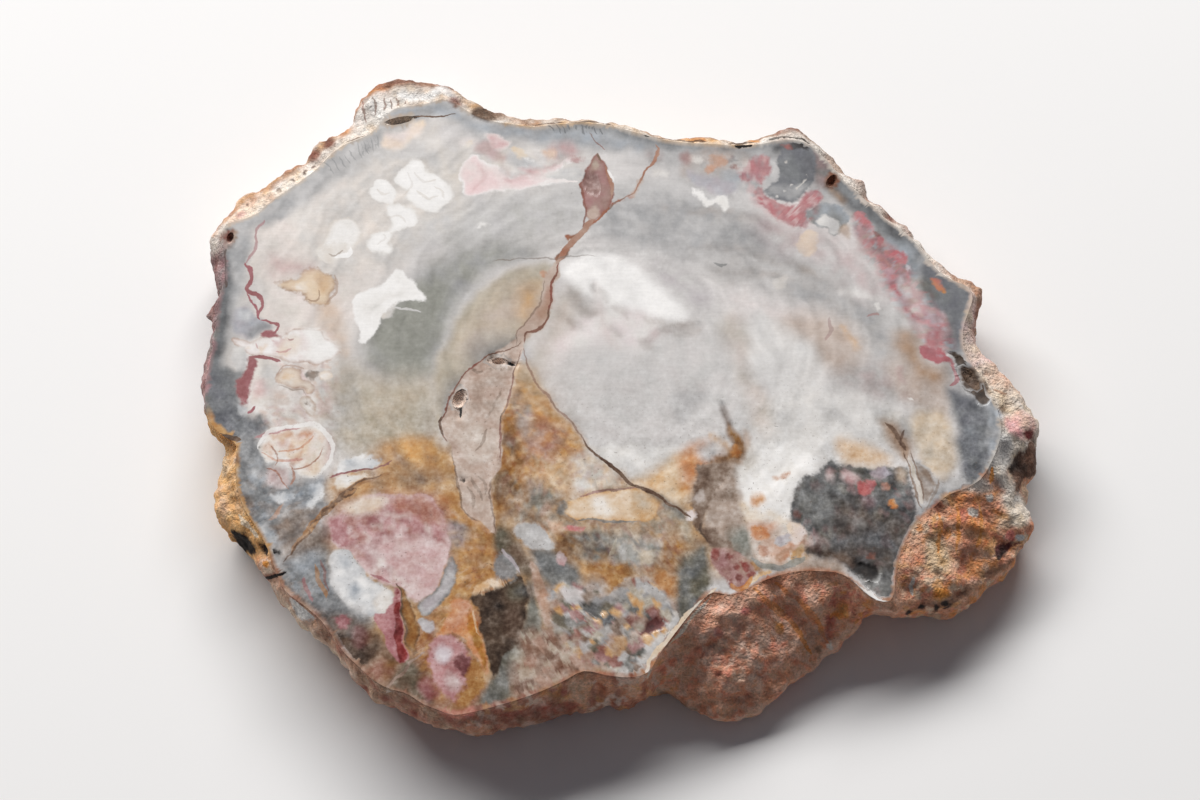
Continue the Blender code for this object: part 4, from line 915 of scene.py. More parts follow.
# %% Paint the figures in the middle
draw("""
patch apricot/orange 0.2: -16.2,-24.4 -14.9,-24.6 -13.9,-26.4 -12.8,-28.6 -11.9,-31 -12.1,-33.4
    -13.2,-31.6 -14.6,-29.6 -16,-28.6 -18,-29 -17,-27
patch amber/flame 0.25: -14.7,-25.6 -13.7,-27 -12.5,-29.4 -12,-31.6 -12.3,-33.2 -13.1,-31 -14.1,-28.6
stroke cream 0.22 0.12 0.6: -14.2,-25.8 -13.6,-27.2 -12.8,-29
patch rose/mauve 0.3: -18.4,-29.6 -16.4,-28.9 -14.7,-30.2 -13.8,-32.4 -13.6,-35 -15,-36.6 -17.2,-35.6
    -18.4,-33.4 -19,-31.4
patch lilac/white 0.4 0.8: -17.8,-30.2 -16.6,-30.2 -16.4,-31.6 -17.2,-32.2 -17.9,-31.4
patch maroon/red 0.25 0.85: -15.6,-30.9 -14.6,-31 -13.6,-32.4 -13.3,-34 -14.2,-34.2 -15.2,-33 -15.8,-32
patch ochre/amber 0.3: -13.8,-31.6 -12.4,-33.4 -13,-36 -14.8,-37.2 -15.6,-36.2 -14.6,-34.6
patch rust/crimson 0.4 0.8: -19.2,-33.6 -17.8,-34.2 -17.6,-35.8 -18.8,-36.4 -19.8,-35
patch mauve/pink 0.35 0.7: -16.6,-33.2 -15.6,-33.6 -15.2,-35.2 -16.4,-35.4 -17,-34.2
stroke buff/bark 0.4 0.2 0.9: -19.4,-30.6 -20.8,-32 -22,-33.6 -23.6,-35
patch olive/coal 0.2: -14.5,-23.8 -12.5,-23.5 -10.5,-22.3 -9,-21.6 -8.2,-22.6 -7.8,-24 -8,-26.5 -8.4,-28
    -8.9,-29.4 -10,-31 -10.5,-33 -11.5,-33.6 -12,-31 -12.8,-28 -13.5,-26 -14.3,-24.8
patch bark/umber 0.6 0.6: -10.4,-26.4 -9,-25.8 -8.4,-27.6 -9,-29.2 -10.2,-29
patch moss/slate 0.5 0.7: -10.3,-22.9 -9,-22.2 -8.2,-23.4 -8.6,-24.8 -10,-24.4
patch peach/honey 0.15: -14.4,-23.6 -12.6,-23.2 -11.1,-22.4 -10.4,-21.9 -12,-22 -13.2,-22.6
patch slate/stone 0.3 0.9: -11.6,-19.8 -10.6,-18.8 -9.4,-20 -9.6,-21.6 -11,-22 -11.8,-21
stroke lavender 0.5 0.2 0.8: -10.8,-18.4 -9.8,-19.8 -8.9,-21.3
patch silver/ash 0.25: -9.6,-16 -8.2,-15.3 -6.6,-15.8 -5.2,-17.4 -5.2,-18.6 -7,-18.3 -8.8,-17.5
patch silver/rose 0.2: -4.6,-19.4 -4,-18.8 -3.5,-19.6 -3.9,-20.5 -4.6,-20.2
patch apricot/tan 0.15 1 buff: -7.8,-20 -7,-20.5 -6.3,-22 -5.5,-23.5 -5.1,-25.5 -5.2,-27.5 -5.7,-28
    -6.2,-27 -6.8,-25 -7.3,-22.5
patch coral/rose 0.2: -4,-15.7 -2.8,-15.5 -1.6,-15.8 -2,-16.3 -3.2,-16.4 -4,-16.2
patch peach/apricot 0.35 0.8: -5.6,-15.2 -4.4,-15 -4.2,-16.2 -5.2,-16.6
patch cream/peach 0.15 1 honey 0.3: -3.8,-12.7 -2.5,-12.2 -0.5,-11.6 3,-11.3 5.5,-11.2 6.6,-12 6.9,-13
    6.3,-14.5 4,-15 1,-15.1 -1.5,-14.8 -3.5,-14 -4.2,-13.3
patch white/cream 0.45 0.7: -0.6,-12.4 0.8,-12 1.4,-13.4 2.6,-14.4 1,-14.8 -0.6,-14.2
patch honey/sand 0.4 0.6: 4,-11.6 6.4,-11.8 6.4,-14.2 4.4,-14.6
stroke slate/dusk 0.3 0.15 0.8: -2.6,-14.4 -0.6,-14.9 2,-15.2 4.6,-15.1
stroke mauve/umber 0.3 0.15 0.8: -2,-12 0.4,-11.4 3,-11.2 5,-10.9
patch dusk/slate 0.25 0.8: -5,-13.2 -4.3,-12.5 -3.6,-12.9 -4,-13.8 -4.7,-13.8
patch silver/sage 0.3 0.85: 2.6,-18.4 3.6,-17.8 4.6,-18.6 4.4,-19.8 3,-19.6
patch sand/cream 0.3 0.8: 5.2,-18.8 6.4,-18.5 6.8,-19.6 5.8,-20.3 5,-19.8
stroke sand 0.5 0.3 0.7: 1.2,-19.2 1.9,-18.2 2.2,-17.2
patch orange/ochre 0.4 0.8: 6.6,-21.6 8,-21.4 8.8,-22.8 8,-24 6.8,-23.2
""")

# %% [markdown]
# The breccia is a mosaic of small pieces. They are scattered by a seeded hand inside its outline, and the
# few that stand out are then drawn one by one.

# %% Paint the breccia
draw("""
mosaic ash/buff/mauve/moss/silver/taupe/rust/sand/dusk/umber/stone/honey 0.95 11 0.3 0.85: -5,-23 -2,-22.6
    1,-24 4.6,-22 8,-24.4 9,-26.6 7.6,-29.6 6,-32.4 2,-33 -2,-31 -4.8,-28
mosaic buff/umber/taupe/sand/bark 0.8 12 0.6 0.6: -8.8,-28.5 -3,-28.5 -1.4,-31 -2.4,-35 -8.8,-36
patch silver/pink 0.2: -4,-23 -2.4,-23 -1.2,-23.4 -1.4,-24.6 -2.6,-24.9 -3.8,-24.2
patch ash/silver 0.2: 4.6,-21.8 5.4,-22.4 6.6,-23 8,-24.6 7.4,-25.2 5.8,-23.8 4.6,-23
patch iron/moss 0.15: -1.2,-24.8 -0.2,-24.7 0.9,-25.4 1,-26.4 0.2,-26.6 -0.6,-25.8 -1.3,-25.4
patch iron/slate 0.15: 0.8,-26.9 1.9,-26.3 2.4,-26.9 1.8,-27.6 1,-27.6
patch slate/moss 0.15: 3.2,-25.6 4,-25 4.9,-25.3 4.2,-25.9
patch slate/moss 0.2: 3,-32 4.2,-31 5.8,-30 5.4,-31.2 4.2,-32
patch tan/honey 0.3: 1.2,-30.6 2.2,-29 3.4,-29 3.2,-30.4 2,-31.4
patch blood/maroon 0.15: 5.9,-27.2 6.8,-26.6 7.6,-26.9 7.4,-27.9 6.6,-28.3 5.6,-28.9 5,-28.6 5.6,-28
patch rust/blood 0.2 0.8: 3.4,-26.8 4.6,-26 5,-26.8 4,-27.4
patch rust/crimson 0.2 0.8: -2.4,-25.6 -1.6,-25.6 -1,-26.6 -1.6,-26.8
patch silver/bone 0.2: 7,-31 7.6,-29 8.6,-27.6 9.4,-26.8 9.2,-25.8 8.2,-26.8 7.4,-28.4 6.6,-29.6 5.6,-30
    5.4,-31.6 5.6,-33.4 6.2,-32.6
""")

# %% [markdown]
# Now the veins and the sandy pocket, which cut across everything else, and the figures on the right.

# %% Paint the veins
# The black stroke along the top of the slit at -11,5 is painted shadow under its edge, and the black and coal
# marks at -16,-0.5 and -15.8,-9.9 are painted shade in a hole and a pit; all three are sunk as well, further
# on.
draw("""
patch beige/buff 0.15: -10.3,7.8 -12.5,5.8 -13.5,5 -15.8,3.6 -16.8,2.5 -17.5,1 -18.3,-2 -18.5,-3.5
    -18.1,-4.8 -17.3,-6 -16.8,-8.5 -16.5,-9.8 -16.1,-11 -15.4,-13 -14.4,-14.5 -13.5,-15.2 -12.3,-16.2
    -11.7,-16.3 -12,-14 -12.6,-11 -12.5,-9.5 -11.4,-8 -11.5,-4 -11.2,-2 -10.4,1.5 -10,4.3 -9.4,6.6
patch bone/beige 0.6 0.5: -17.4,-1 -16.4,-3 -16.2,-6 -14,-8 -12,-7 -11.7,-4 -13,-3.6 -14.8,-2.4
patch taupe/buff 0.9 0.5: -15,1.6 -13.4,3 -11.4,3.2 -11,1 -12.2,-1.4 -14.2,-1.6 -15,-0.2
patch taupe/umber 0.25 0.8: -13.6,5 -12.6,5.3 -11,4.8 -10.3,4.4 -10.8,3.8 -12.2,3.6 -13.2,4.2
stroke umber/rust 0.22 0.12: -9.7,7.2 -12.5,5.7 -13.6,4.9 -15.8,3.5 -16.9,2.4 -17.6,1 -18.4,-2 -18.6,-3.6
    -18,-5.2
stroke umber/rust 0.25 0.12 0.9: -9.6,6.4 -10,4.4 -10.3,2 -11,-1.6 -11.6,-4 -11.5,-8
stroke umber 0.25 0.12 0.7: -17.2,-6.4 -16.8,-8.6 -16.3,-10.6 -15.4,-13.2 -13.8,-15.2; -12.5,-9.6
    -12.7,-11.4 -12,-14.4 -11.7,-16.4
stroke black 0.4 0.1: -12.9,5.1 -11.9,5.2 -11,5 -10,4.6
patch umber/dusk 0.2: -17.5,0.9 -16.6,1.2 -15.4,0.9 -15.2,0 -16,-0.4 -17.3,-0.2
stroke black 0.35 0.1: -16.9,0 -16.4,-0.8 -16.2,-2.2
stroke coal 0.3 0.12: -16.8,0.8 -16,0.3 -15.3,0.4
stroke bark/umber 0.45 0.15: -18.6,-2 -18.7,-3.2 -18.3,-4.6
patch coal/umber 0.12: -16.2,-9.8 -15.7,-9.5 -15.3,-9.9 -15.8,-10.3
stroke taupe/umber 0.35 0.2 0.6: -15,4 -14.2,3.4 -13.6,3.6; -12.4,-0.6 -12,0.6 -11.7,1; -13.4,-2.2
    -12.6,-1.4 -12.2,-0.4; -14.4,-6.4 -13.8,-5.2 -13.4,-3.6; -15.2,-10.6 -14.6,-12 -14.2,-13.4; -14.6,-9.6
    -14,-11 -13.4,-12.6; -13.8,-9.4 -13.2,-10.4 -13.2,-11.8
patch beige/buff 0.2: -5.2,18.4 -4.9,17 -5.4,15 -5.9,13.2 -6.1,11.4 -6.6,10 -8,8.7 -9,7.4 -9.9,6 -10.4,6.6
    -10,8.6 -8.9,10 -8,11.4 -7.4,12.6 -7,14 -6.8,15.8 -6,17.4
patch terracotta/tan 0.35 0.7: -6,14.6 -5.8,12.8 -6.2,11.2 -7,10.4 -7.6,11.4 -6.9,13
patch apricot/terracotta 0.25 0.8: -7.6,16.6 -6.8,16.8 -6.4,16.2 -6.8,15.7 -7.4,16
stroke rust/umber 0.3 0.12: -5,18.4 -5.3,16.4 -5.9,14 -6.1,12 -6.6,10.2 -7.8,9 -8.8,8.4 -9.2,7
stroke umber 0.2 0.12 0.6: -6.6,15.4 -7.2,13 -8,11.2 -9,9.8 -10,8.4 -10.3,7
stroke buff/terracotta 0.9 0.2: -5.4,17.8 -4.2,19.6 -3.2,21 -2.2,22.2 -1.3,23.6
patch terracotta/umber 0.15: -5.8,18.8 -4.6,19.4 -3.9,20.2 -4.5,21.2 -3.6,21.5 -2.6,21.6 -2.9,20.6
    -3.8,19.6 -4,18.8 -5,18
patch beige/bone 0.12: -4.2,20.8 -3.7,21 -3.5,20.4 -4,20.2
patch terracotta/buff 0.15: -2.8,21.6 -2,22.4 -1.6,23.6 -0.8,23.4 -1.3,22.6 -2,21.8
patch mauve/taupe 0.15 1 rust 0.25: -1,32.3 -0.3,31.6 0.2,30.9 0.5,29.6 0.8,28.6 1,27.5 1.1,26 0.7,24.7
    -0.3,23.9 -1.1,23.4 -1.9,23.8 -2.1,25 -2.7,26.6 -2.8,28 -2.2,28.9 -2,30.2 -1.7,31.1
patch bark/mauve 0.4 0.6: -2,29 -1,29.4 -0.4,28.4 -0.6,27 -1.6,26.8 -2.2,27.8
patch beige/buff 0.25 0.9: -1.8,24.8 -0.8,25 -0.6,24 -1.4,23.4 -1.9,23.9
patch buff/sand 0.3 0.8: -1.6,30.8 -0.8,31 -0.8,29.8 -1.5,29.6
stroke terracotta/buff 0.3 0.15: 0.1,31 0.5,29.6 0.8,28 0.9,26.2
stroke white 0.3 0.12 0.8: 0.4,30.4 0.8,29.4 1.1,28.4
stroke umber 0.4 0.15: -1,32.4 -0.7,31.8 -0.4,31.3
stroke rust/umber 0.3 0.12 0.8: -2.8,28 -2.6,26.6 -2.1,25 -2.1,23.8 -2.6,22.2
patch buff/rose 0.2 0.8: 1,25.4 1.8,26 3,26.8 3.8,27.2 3.4,26.2 2.4,26 1.5,25
patch buff/beige 0.2 0.7: 3,26.6 3.6,27.4 4.6,28.6 5,28.4 4.2,27.2 3.6,26.2
stroke terracotta/rust 0.4 0.15: -1.4,22.8 0,24 1.2,25.2 2.6,26.4
stroke terracotta/buff 0.3 0.15: 2.6,26.4 3.9,27.4 4.8,28.8 5.3,30.2 6,31.4 6.4,32.4 6.1,33.2
stroke umber 0.22 0.12 0.7: 0.4,24.2 1.4,25.3 2.4,26.2 3.4,26.8
stroke umber/rust 0.3 0.15 0.6: -9.3,6.6 -8.5,4.6 -7.1,1.7 -5.2,-0.4 -3.6,-2.6 -2.3,-4.4 -1.1,-6.2
stroke umber/bark 0.45 0.15: -2,-4.8 -1.2,-6.1 -0.4,-7.1 1.4,-7.8 2.6,-9.2 3.8,-10.4 5,-11 6.5,-11.5
    8,-12.7 9.8,-13.9 10.8,-14.6
stroke dusk/slate 1 0.35 0.8: 5.8,-11.2 7.4,-12.2 8.6,-13.4 10,-14.6
stroke umber/dusk 0.2 0.1 0.55: -13,18 -9,18.4 -5,18.5 -1,18.3
stroke umber/slate 0.7 0.35 0.85: 14,0 14.2,-1.2 14.8,-2.6 15.3,-3.8
patch umber/amber 0.4: 14.8,-3 15.6,-3.6 16.6,-4.6 16.8,-5.8 16.4,-7.6 15,-8 13.4,-8 12,-8.4 13.6,-7
    15,-6.4 15.2,-4.8
patch ochre/orange 0.3 0.8: 15.6,-5.6 16.3,-6.2 16.2,-7.2 15.4,-7 15.2,-6.2
stroke honey/ochre 0.8 0.5 0.6: 13,-4 14.2,-5 14.9,-6.4
stroke ochre/tan 0.7 0.4 0.5: 16.6,-3.6 17.2,-4.6 17.1,-6.2
patch umber/taupe 0.3: 11.2,-8.3 12.6,-8 14.8,-8 15,-9.4 13.6,-11.6 12.9,-13.4 12.4,-15.4 14,-16.6
    15.6,-18.6 14,-18.6 12.6,-17.6 11.6,-16 11.2,-14.4 10.8,-12.4 11.2,-10.4
patch umber/bark 0.35 0.6: 11.6,-8.8 13,-9 12.8,-11 12,-11 11.2,-13 11,-11.4
patch bone/pink 0.25 0.4: 11.2,-11.6 12,-11.2 12.4,-12 12.2,-13 11.4,-13 11.1,-12.4
patch pink/white 0.2: 10.2,-13.8 11,-13.6 11.4,-14.6 10.8,-15 10.2,-14.6
patch bark/umber 0.35 0.7: 12.2,-15.8 13.6,-16 14.2,-17.4 13,-17.8 12.2,-16.8
stroke coal/umber 0.3 0.15 0.6: 12.4,-15 11.9,-16.2 12.6,-17.4
patch mauve/buff 0.2: 13,-18.4 14.4,-18.2 16,-18.7 17.6,-19.8 18.4,-21.2 17.6,-22.4 16.2,-23.2 14.8,-22.9
    13.9,-21.4 13.2,-20
patch blood/ruby 0.2 0.8: 13.1,-18.3 14,-18.3 14,-19.2 13.2,-19.5; 14.9,-19 15.6,-18.9 15.5,-19.6
    15,-19.7; 15.3,-20.2 16,-20 16.1,-20.7 15.5,-20.8; 16.2,-19.6 17.2,-20 17.6,-21 16.9,-21.2; 17.4,-21
    18.3,-21.3 17.9,-22.1 17.2,-21.8; 14.4,-21.9 15.2,-22 15.4,-22.9 14.7,-22.8; 15.6,-21.6 16.4,-21.6
    16.6,-22.3 15.8,-22.4
stroke flame/rust 0.6 0.25 0.8: 14.8,-22.6 16,-23.2 17.2,-22.7 18,-21.8
patch cream/honey 0.2: 18,-22 19.4,-21 20,-21.4 19,-22.6 17.6,-23
patch amber/ochre 0.25 0.8: 17.4,-19.6 18.4,-20 18.8,-21 18.2,-21
stroke cream/bone 0.6 0.2: 5.8,-33.4 6.6,-31.4 8.4,-28.6 10.2,-26.4 12.2,-24.4 13.8,-23.2
""")

# %% Paint the figures on the right
draw("""
patch apricot/honey 0.35 0.9: 17.8,-12 18.8,-11.6 19.2,-12.4 18.6,-13.2 17.8,-13
patch apricot/peach 0.25 0.8: 20,-9.9 21,-9.5 22.3,-9.1 22,-9.8 20.8,-10.3
patch apricot/orange 0.25 0.9: 17.8,-15.6 19.2,-15.6 19.8,-16.6 18.8,-17.2 17.8,-16.9
patch peach/pink 0.2: 21.6,-15.3 22.8,-15.5 24.1,-16.4 23.4,-17.4 22.4,-18 21.8,-17
patch lavender/silver 0.2: 20.2,-17.4 21.2,-16.6 22,-16.8 21.6,-17.8 20.6,-18.1
patch apricot/rust 0.2 0.8: 18.4,-18 19.4,-17.9 19.6,-18.8 18.8,-19.1
patch apricot/tan 0.2 0.9: 20.2,-19.6 21,-18.8 22.4,-18.2 22.2,-19 21,-20
patch honey/sand 0.2: 22.4,-18.7 23.4,-17.9 23.7,-19 22.6,-19.9 21.8,-19.9
stroke sage/slate 0.8 0.3 0.8: 17.6,-19.2 18.8,-20.2 20.4,-20.7 22.4,-20.2 23.8,-19.6
patch bone/cream 0.25: 21.6,-21.4 22.4,-21.2 23.2,-21.8 22.8,-22.4 22,-22.2
patch rose/pink 0.35 0.85: 26.2,-8.7 26.8,-8.9 26.9,-10.4 26.3,-10.2; 27.8,-8.8 29.2,-8.8 30.2,-9.8
    29.6,-10.5 28.4,-10.2
patch coral/crimson 0.25: 29.9,-10.4 31,-10.1 32,-10 31.6,-10.9 30.8,-11.5 30,-11.6
patch lilac/mauve 0.3 0.7: 31.6,-8.7 32.8,-8.4 33.4,-9 32.8,-9.8 31.8,-9.5
patch crimson/iron 0.5 0.4: 30,-11.6 31.6,-11.6 31.4,-12.8 30.2,-12.8
patch tan/peach 0.4 0.7: 34,-8.4 35,-8.6 35.2,-10.2 34.2,-10
patch orange/apricot 0.2: 33.5,-12.2 34.1,-12 34.3,-12.9 33.8,-13.3 33.4,-12.9
patch apricot/mauve 0.25 0.8: 32.8,-10 33.6,-10.2 33.6,-10.9 32.9,-10.8
patch rust/dusk 0.3 0.7: 22.4,-13.9 23.2,-13.8 23.2,-14.6 22.5,-14.6
patch mauve/moss 0.35 0.6: 25,-17.2 26,-17.1 26.4,-17.9 25.2,-18.1
patch moss/tan 0.4 0.6: 31.6,-13.6 32.6,-13.4 32.6,-14.4 31.8,-14.5
patch dusk/silver 0.4 0.5: 29,-15 29.8,-14.6 30.6,-15.4 29.8,-16 29,-15.8
stroke coal 0.7 0.35 0.7: 25.8,-11.8 27,-12.4 28.2,-13.2
patch coal/umber 0.4 0.8: 23.8,-18.3 25.6,-18.2 27.6,-18.8 29.4,-19.8 29,-20.6 27,-19.8 24.6,-19.2
patch rust/terracotta 0.3 0.6: 31,-18.8 31.8,-18.9 31.6,-19.6 31,-19.5
stroke bone/white 0.9 0.25: 26.6,-21.7 28.4,-22.2 29.6,-23 31,-24.2 32.6,-25 34,-25.2
stroke umber/bark 0.5 0.25 0.9: 33,-2.8 34,-3.8 34.8,-4.8 35.2,-6.2
stroke bark 0.3 0.15 0.8: 35.6,-3.8 35,-4.8 34.9,-5.6
stroke umber/tan 0.25 0.12 0.8: 34.9,-6 35.4,-8 36,-10 36.6,-12 37.1,-13.4
stroke bone/sand 0.5 0.15 0.9: 35.5,-6.6 35.9,-8.2 36.4,-10 36.9,-11.8 37.3,-13
stroke umber/tan 0.25 0.12 0.7: 35.8,-6 36.3,-8 36.9,-10.2 37.3,-12.4
stroke taupe/slate 0.35 0.15 0.7: 39.2,-9.9 38.8,-11.4 38.2,-12.8 37.6,-13.7
""")

# %% Paint the upper right
draw("""
patch ash/buff 0.7 0.7: 8.8,29.4 10.4,31.6 12.6,32.8 16,32.4 17.4,31 16,29.2 13,28.8 10.6,28.4
patch lavender/bluegrey 0.35: 9.6,29.6 11.4,29.2 13,28.7 15,28.4 15.7,27.2 14.6,26.4 13,26.5 11.8,27.4
    10.3,28.2
patch white/pearl 0.25: 10.6,27.4 11.8,26.8 12.4,25.8 13.6,26.3 14.8,26.2 15,25 14.6,24 14,24.8 13.2,25.3
    12.2,25 11.4,26 10.2,26.9
patch apricot/buff 0.3 0.8: 12.8,31.8 14,31.9 14.4,30.8 13.4,29.8 12.4,29.3 12,29.9 13,30.6
patch pearl/bone 0.3 0.7: 10.2,31.6 11.4,31.6 12,31 11,30.6 10.2,31
patch mauve/rust 0.4 0.7: 8.9,31.8 9.8,32.2 10.6,31.2 9.6,30.4
patch rust/mauve 0.25 0.7: 15.2,30.4 16,30.5 16.2,29.8 15.3,29.8
patch slate/mauve 0.3 0.7: 14.8,31.6 15.6,31.8 15.8,31 15,30.9
patch bluegrey/silver 0.4 0.8: 14.2,29.6 15.6,29.6 16.4,28.8 15.6,28 14.4,28.4
patch plum/rose 0.3: 15.9,28.9 16.6,30.2 17.6,31.2 18.6,31.6 19.4,31.6 19.6,29.8 18.9,28.6 18.4,27.6
    18,26.6 18.2,25.4 18.9,24.6 20,23.7 21.6,22.8 23.4,22.4 24.3,22.5 24.1,23.6 24.5,24.6 25.4,25.2
    26.2,26 25.6,26.9 24.6,26.4 23.2,25.3 21.6,24.9 20.4,25.7 19.4,26.7 18.9,27.8 18.2,28.4 17,28.1
patch rosered/rose 0.35 0.8: 18.3,26 19.4,24.6 21,23.6 23.2,22.9 23.9,23.2 23.6,24.6 22,24.5 20.4,25
    19.2,26.2
patch rosered/plum 0.35 0.7: 23.4,25.4 24.2,24.9 25.6,25.6 25.6,26.5 24.4,26.2
patch bluegrey/slate 0.4 0.4: 17,29.2 18.4,29.6 18.6,28.6 17.4,28.3
patch slate/steel 0.25: 20.4,31 21.2,32.2 22.2,33.1 24,33 25,32 25.4,30 25,28.4 24.7,27.3 23.4,26 22,25.5
    20.6,26 19.4,26.9 19.7,27.8 20.5,28.6 20.6,29.8
patch steel/iron 0.5 0.7: 23.6,31.4 25,31 25.2,29.2 24.6,27.9 23.6,29
patch slate/stone 0.6 0.5: 20.6,28.8 22.2,28.6 22.6,30.4 21.6,31.6 20.8,30.6
patch silver/stone 0.4 0.75: 19.8,27.6 21,28 22.4,27.4 23.6,27.8 24.4,27.2 23.2,26.2 21.8,26 20.4,26.5
""")
SPECKS = (
    "20.2,26.9 20.9,27.4 21.6,27 22.2,27.5 22.9,27 23.6,27.7 "
    "24.2,28.6 24.3,29.1 21.4,30.9 20.7,26.3 23.8,28.2"
)
dots("bone/pearl", SPECKS, (0.2, 0.18), 0.12, 0.9)
draw("""
patch coal/iron 0.2: 22.1,33.3 23.4,33.5 24.6,32.9 24.2,32.3 23,32.4 22.4,32.5
patch coral/rust 0.25 0.7: 21.2,33.2 22,33.2 22.3,32.5 21.6,32.6
patch dusk/bluegrey 0.25: 24,24.1 24.8,24.9 26.5,25.3 28,25 28.9,24.1 29,23 28.2,21.9 27.4,21.2 26.6,21.9
    25.2,22.2 24.4,23
patch silver/pearl 0.2: 25.1,23.1 25.9,23.6 27,23.6 27.7,22.8 28,21.8 27.2,21.4 26.4,22.2 25.4,22.3
patch peach/beige 0.3 0.75: 23.4,21.2 24.4,21.8 25.4,21 25.3,19.4 24.4,18.4 23.4,18.8 23.1,20
patch tan/honey 0.35 0.6: 28.2,22.4 29.2,22 29,20.9 28,21.4
patch amber/taupe 0.5 0.6: 27,28.3 27.8,27.2 28.8,26 28.4,25.2 27.4,26.4 26.8,27.4
patch rosered/rose 0.3: 29.8,23.6 30.6,24.2 31.4,23 32,22 31.2,21.6 30.4,22.4
patch rosered/crimson 0.25: 31.6,20.6 32.6,21 33.3,20.4 32.8,19.6 32,19.8
patch plum/taupe 0.5 0.75: 29.8,22.4 31.2,22 32,20.6 33,20.2 34.6,19.6 34.2,17.6 32.4,17.8 31,19 30,20.6
patch dusk/slate 0.35 0.8: 31.8,19.8 33,19.6 33.6,18.8 32.6,18.2 31.6,18.8
patch bark/rust 0.2 0.8: 32,21.6 32.6,21.7 32.8,21.2 32.2,21
patch rosered/rose 0.25: 33.4,18.8 34.8,19.2 35.8,18.2 35.4,17 34,17.2
patch plum/rose 0.4: 32.3,18 33.6,18.4 35.2,17.2 36.3,15.8 36.2,14.4 37.2,13 38.4,12 39.6,11.4 40.4,10.2
    40,8.6 40.2,7 39,6.6 38,7.4 38.2,9.4 36.8,10 35.4,11.8 34,14 33,16
patch rosered/crimson 0.4 0.7: 32.6,18 33.6,17.6 34.4,15.4 35,13.6 34.2,13.8 33.2,15.8
patch pink/rose 0.4 0.85: 35,15.4 36.2,14.8 37,13.2 38,11.8 37.6,10.6 36.4,11.2 35.6,12.8 34.8,14.2
patch rose/lilac 0.35 0.8: 38,11.6 39.4,11 39.8,9.6 38.8,8.2 38.2,9.6
patch pearl/lilac 0.25 0.8: 36.2,12 37,12.2 37.4,11.2 36.6,11
patch pearl/pink 0.2 0.8: 35.6,14.2 36.3,13.9 36,13.4 35.6,13.7
mosaic plum/slate/rose/bluegrey/rosered/taupe 0.6 53 0.5 0.4: 29.5,24 33,20.8 36.6,16.4 40.4,10 41,6
    38,6.4 36,10 33,14 30.6,20
mosaic plum/pink/rose/stone/rosered 0.6 54 0.5 0.4: 16,30 19,31.4 19,27 21,25 26,26.6 24,22.6 20,23.4
    17.6,25.6
patch crimson/rosered 0.2: 37.2,6.5 38,6.8 39.2,6.7 40.2,6.2 40.4,5.4 41.2,4.8 41.4,3.6 40.6,4.2 39.4,4.5
    38.4,4.9 37.5,5.4
patch lilac/plum 0.25 0.7: 39.4,6 40,5.8 40.1,5.2 39.5,5.3
stroke crimson 0.6 0.3 0.8: 41,4.4 41.4,3.2 41.3,2.2 40.6,1.6
patch flame/coral 0.2 0.8: 38.9,15.4 39.6,15.2 40.4,14.2 40.1,13.6 39.4,14.4
patch pearl/lilac 0.2 0.7: 35.8,17 36.4,16.9 36.5,16.3 36,16.2
patch coal/olive 0.2: 40.8,6 41.8,5.9 42.6,5.3 43,4.4 43.5,3.4 44.2,2.8 44.8,1.8 45.1,0.6 44.8,-0.2
    43.9,0.1 42.9,1 42.1,1.8 41.6,3 41.8,4.2 41.5,5.1
patch olive/amber 0.3 0.7: 43,2.6 43.8,2.6 44.2,1.6 43.6,1.2 42.9,1.8
patch pearl/bone 0.25 0.5: 20.1,14.9 20.8,15.2 21.8,15.8 22,15.2 21.4,14.1 20.6,13.9
patch mist/pearl 0.4 0.7: 27.8,13.2 28.4,14 30,14.2 32,13.6 33.4,12.6 31.6,12.9 29.6,13.1
patch pearl 0.2 0.7: 32.1,12.2 32.6,12.4 32.8,11.4 32.2,11.2
stroke mauve/taupe 0.35 0.2 0.7: 31,10.4 32,10.9 32.7,10.6
stroke slate/dusk 0.35 0.15 0.7: 13.3,17.3 14,17.1 14.6,17.2
stroke mauve/dusk 0.4 0.3 0.5: 26.8,10.4 26.8,8.8 26.4,7.4
stroke honey/tan 0.6 0.4 0.6: 27.8,9.6 29,8 29.8,6.2
stroke pearl 0.35 0.2 0.7: 35.3,0.4 36.1,-0.2
stroke crimson 0.5 0.4 0.4: 34.8,4.2 35,3.2 35.4,2.2
""")

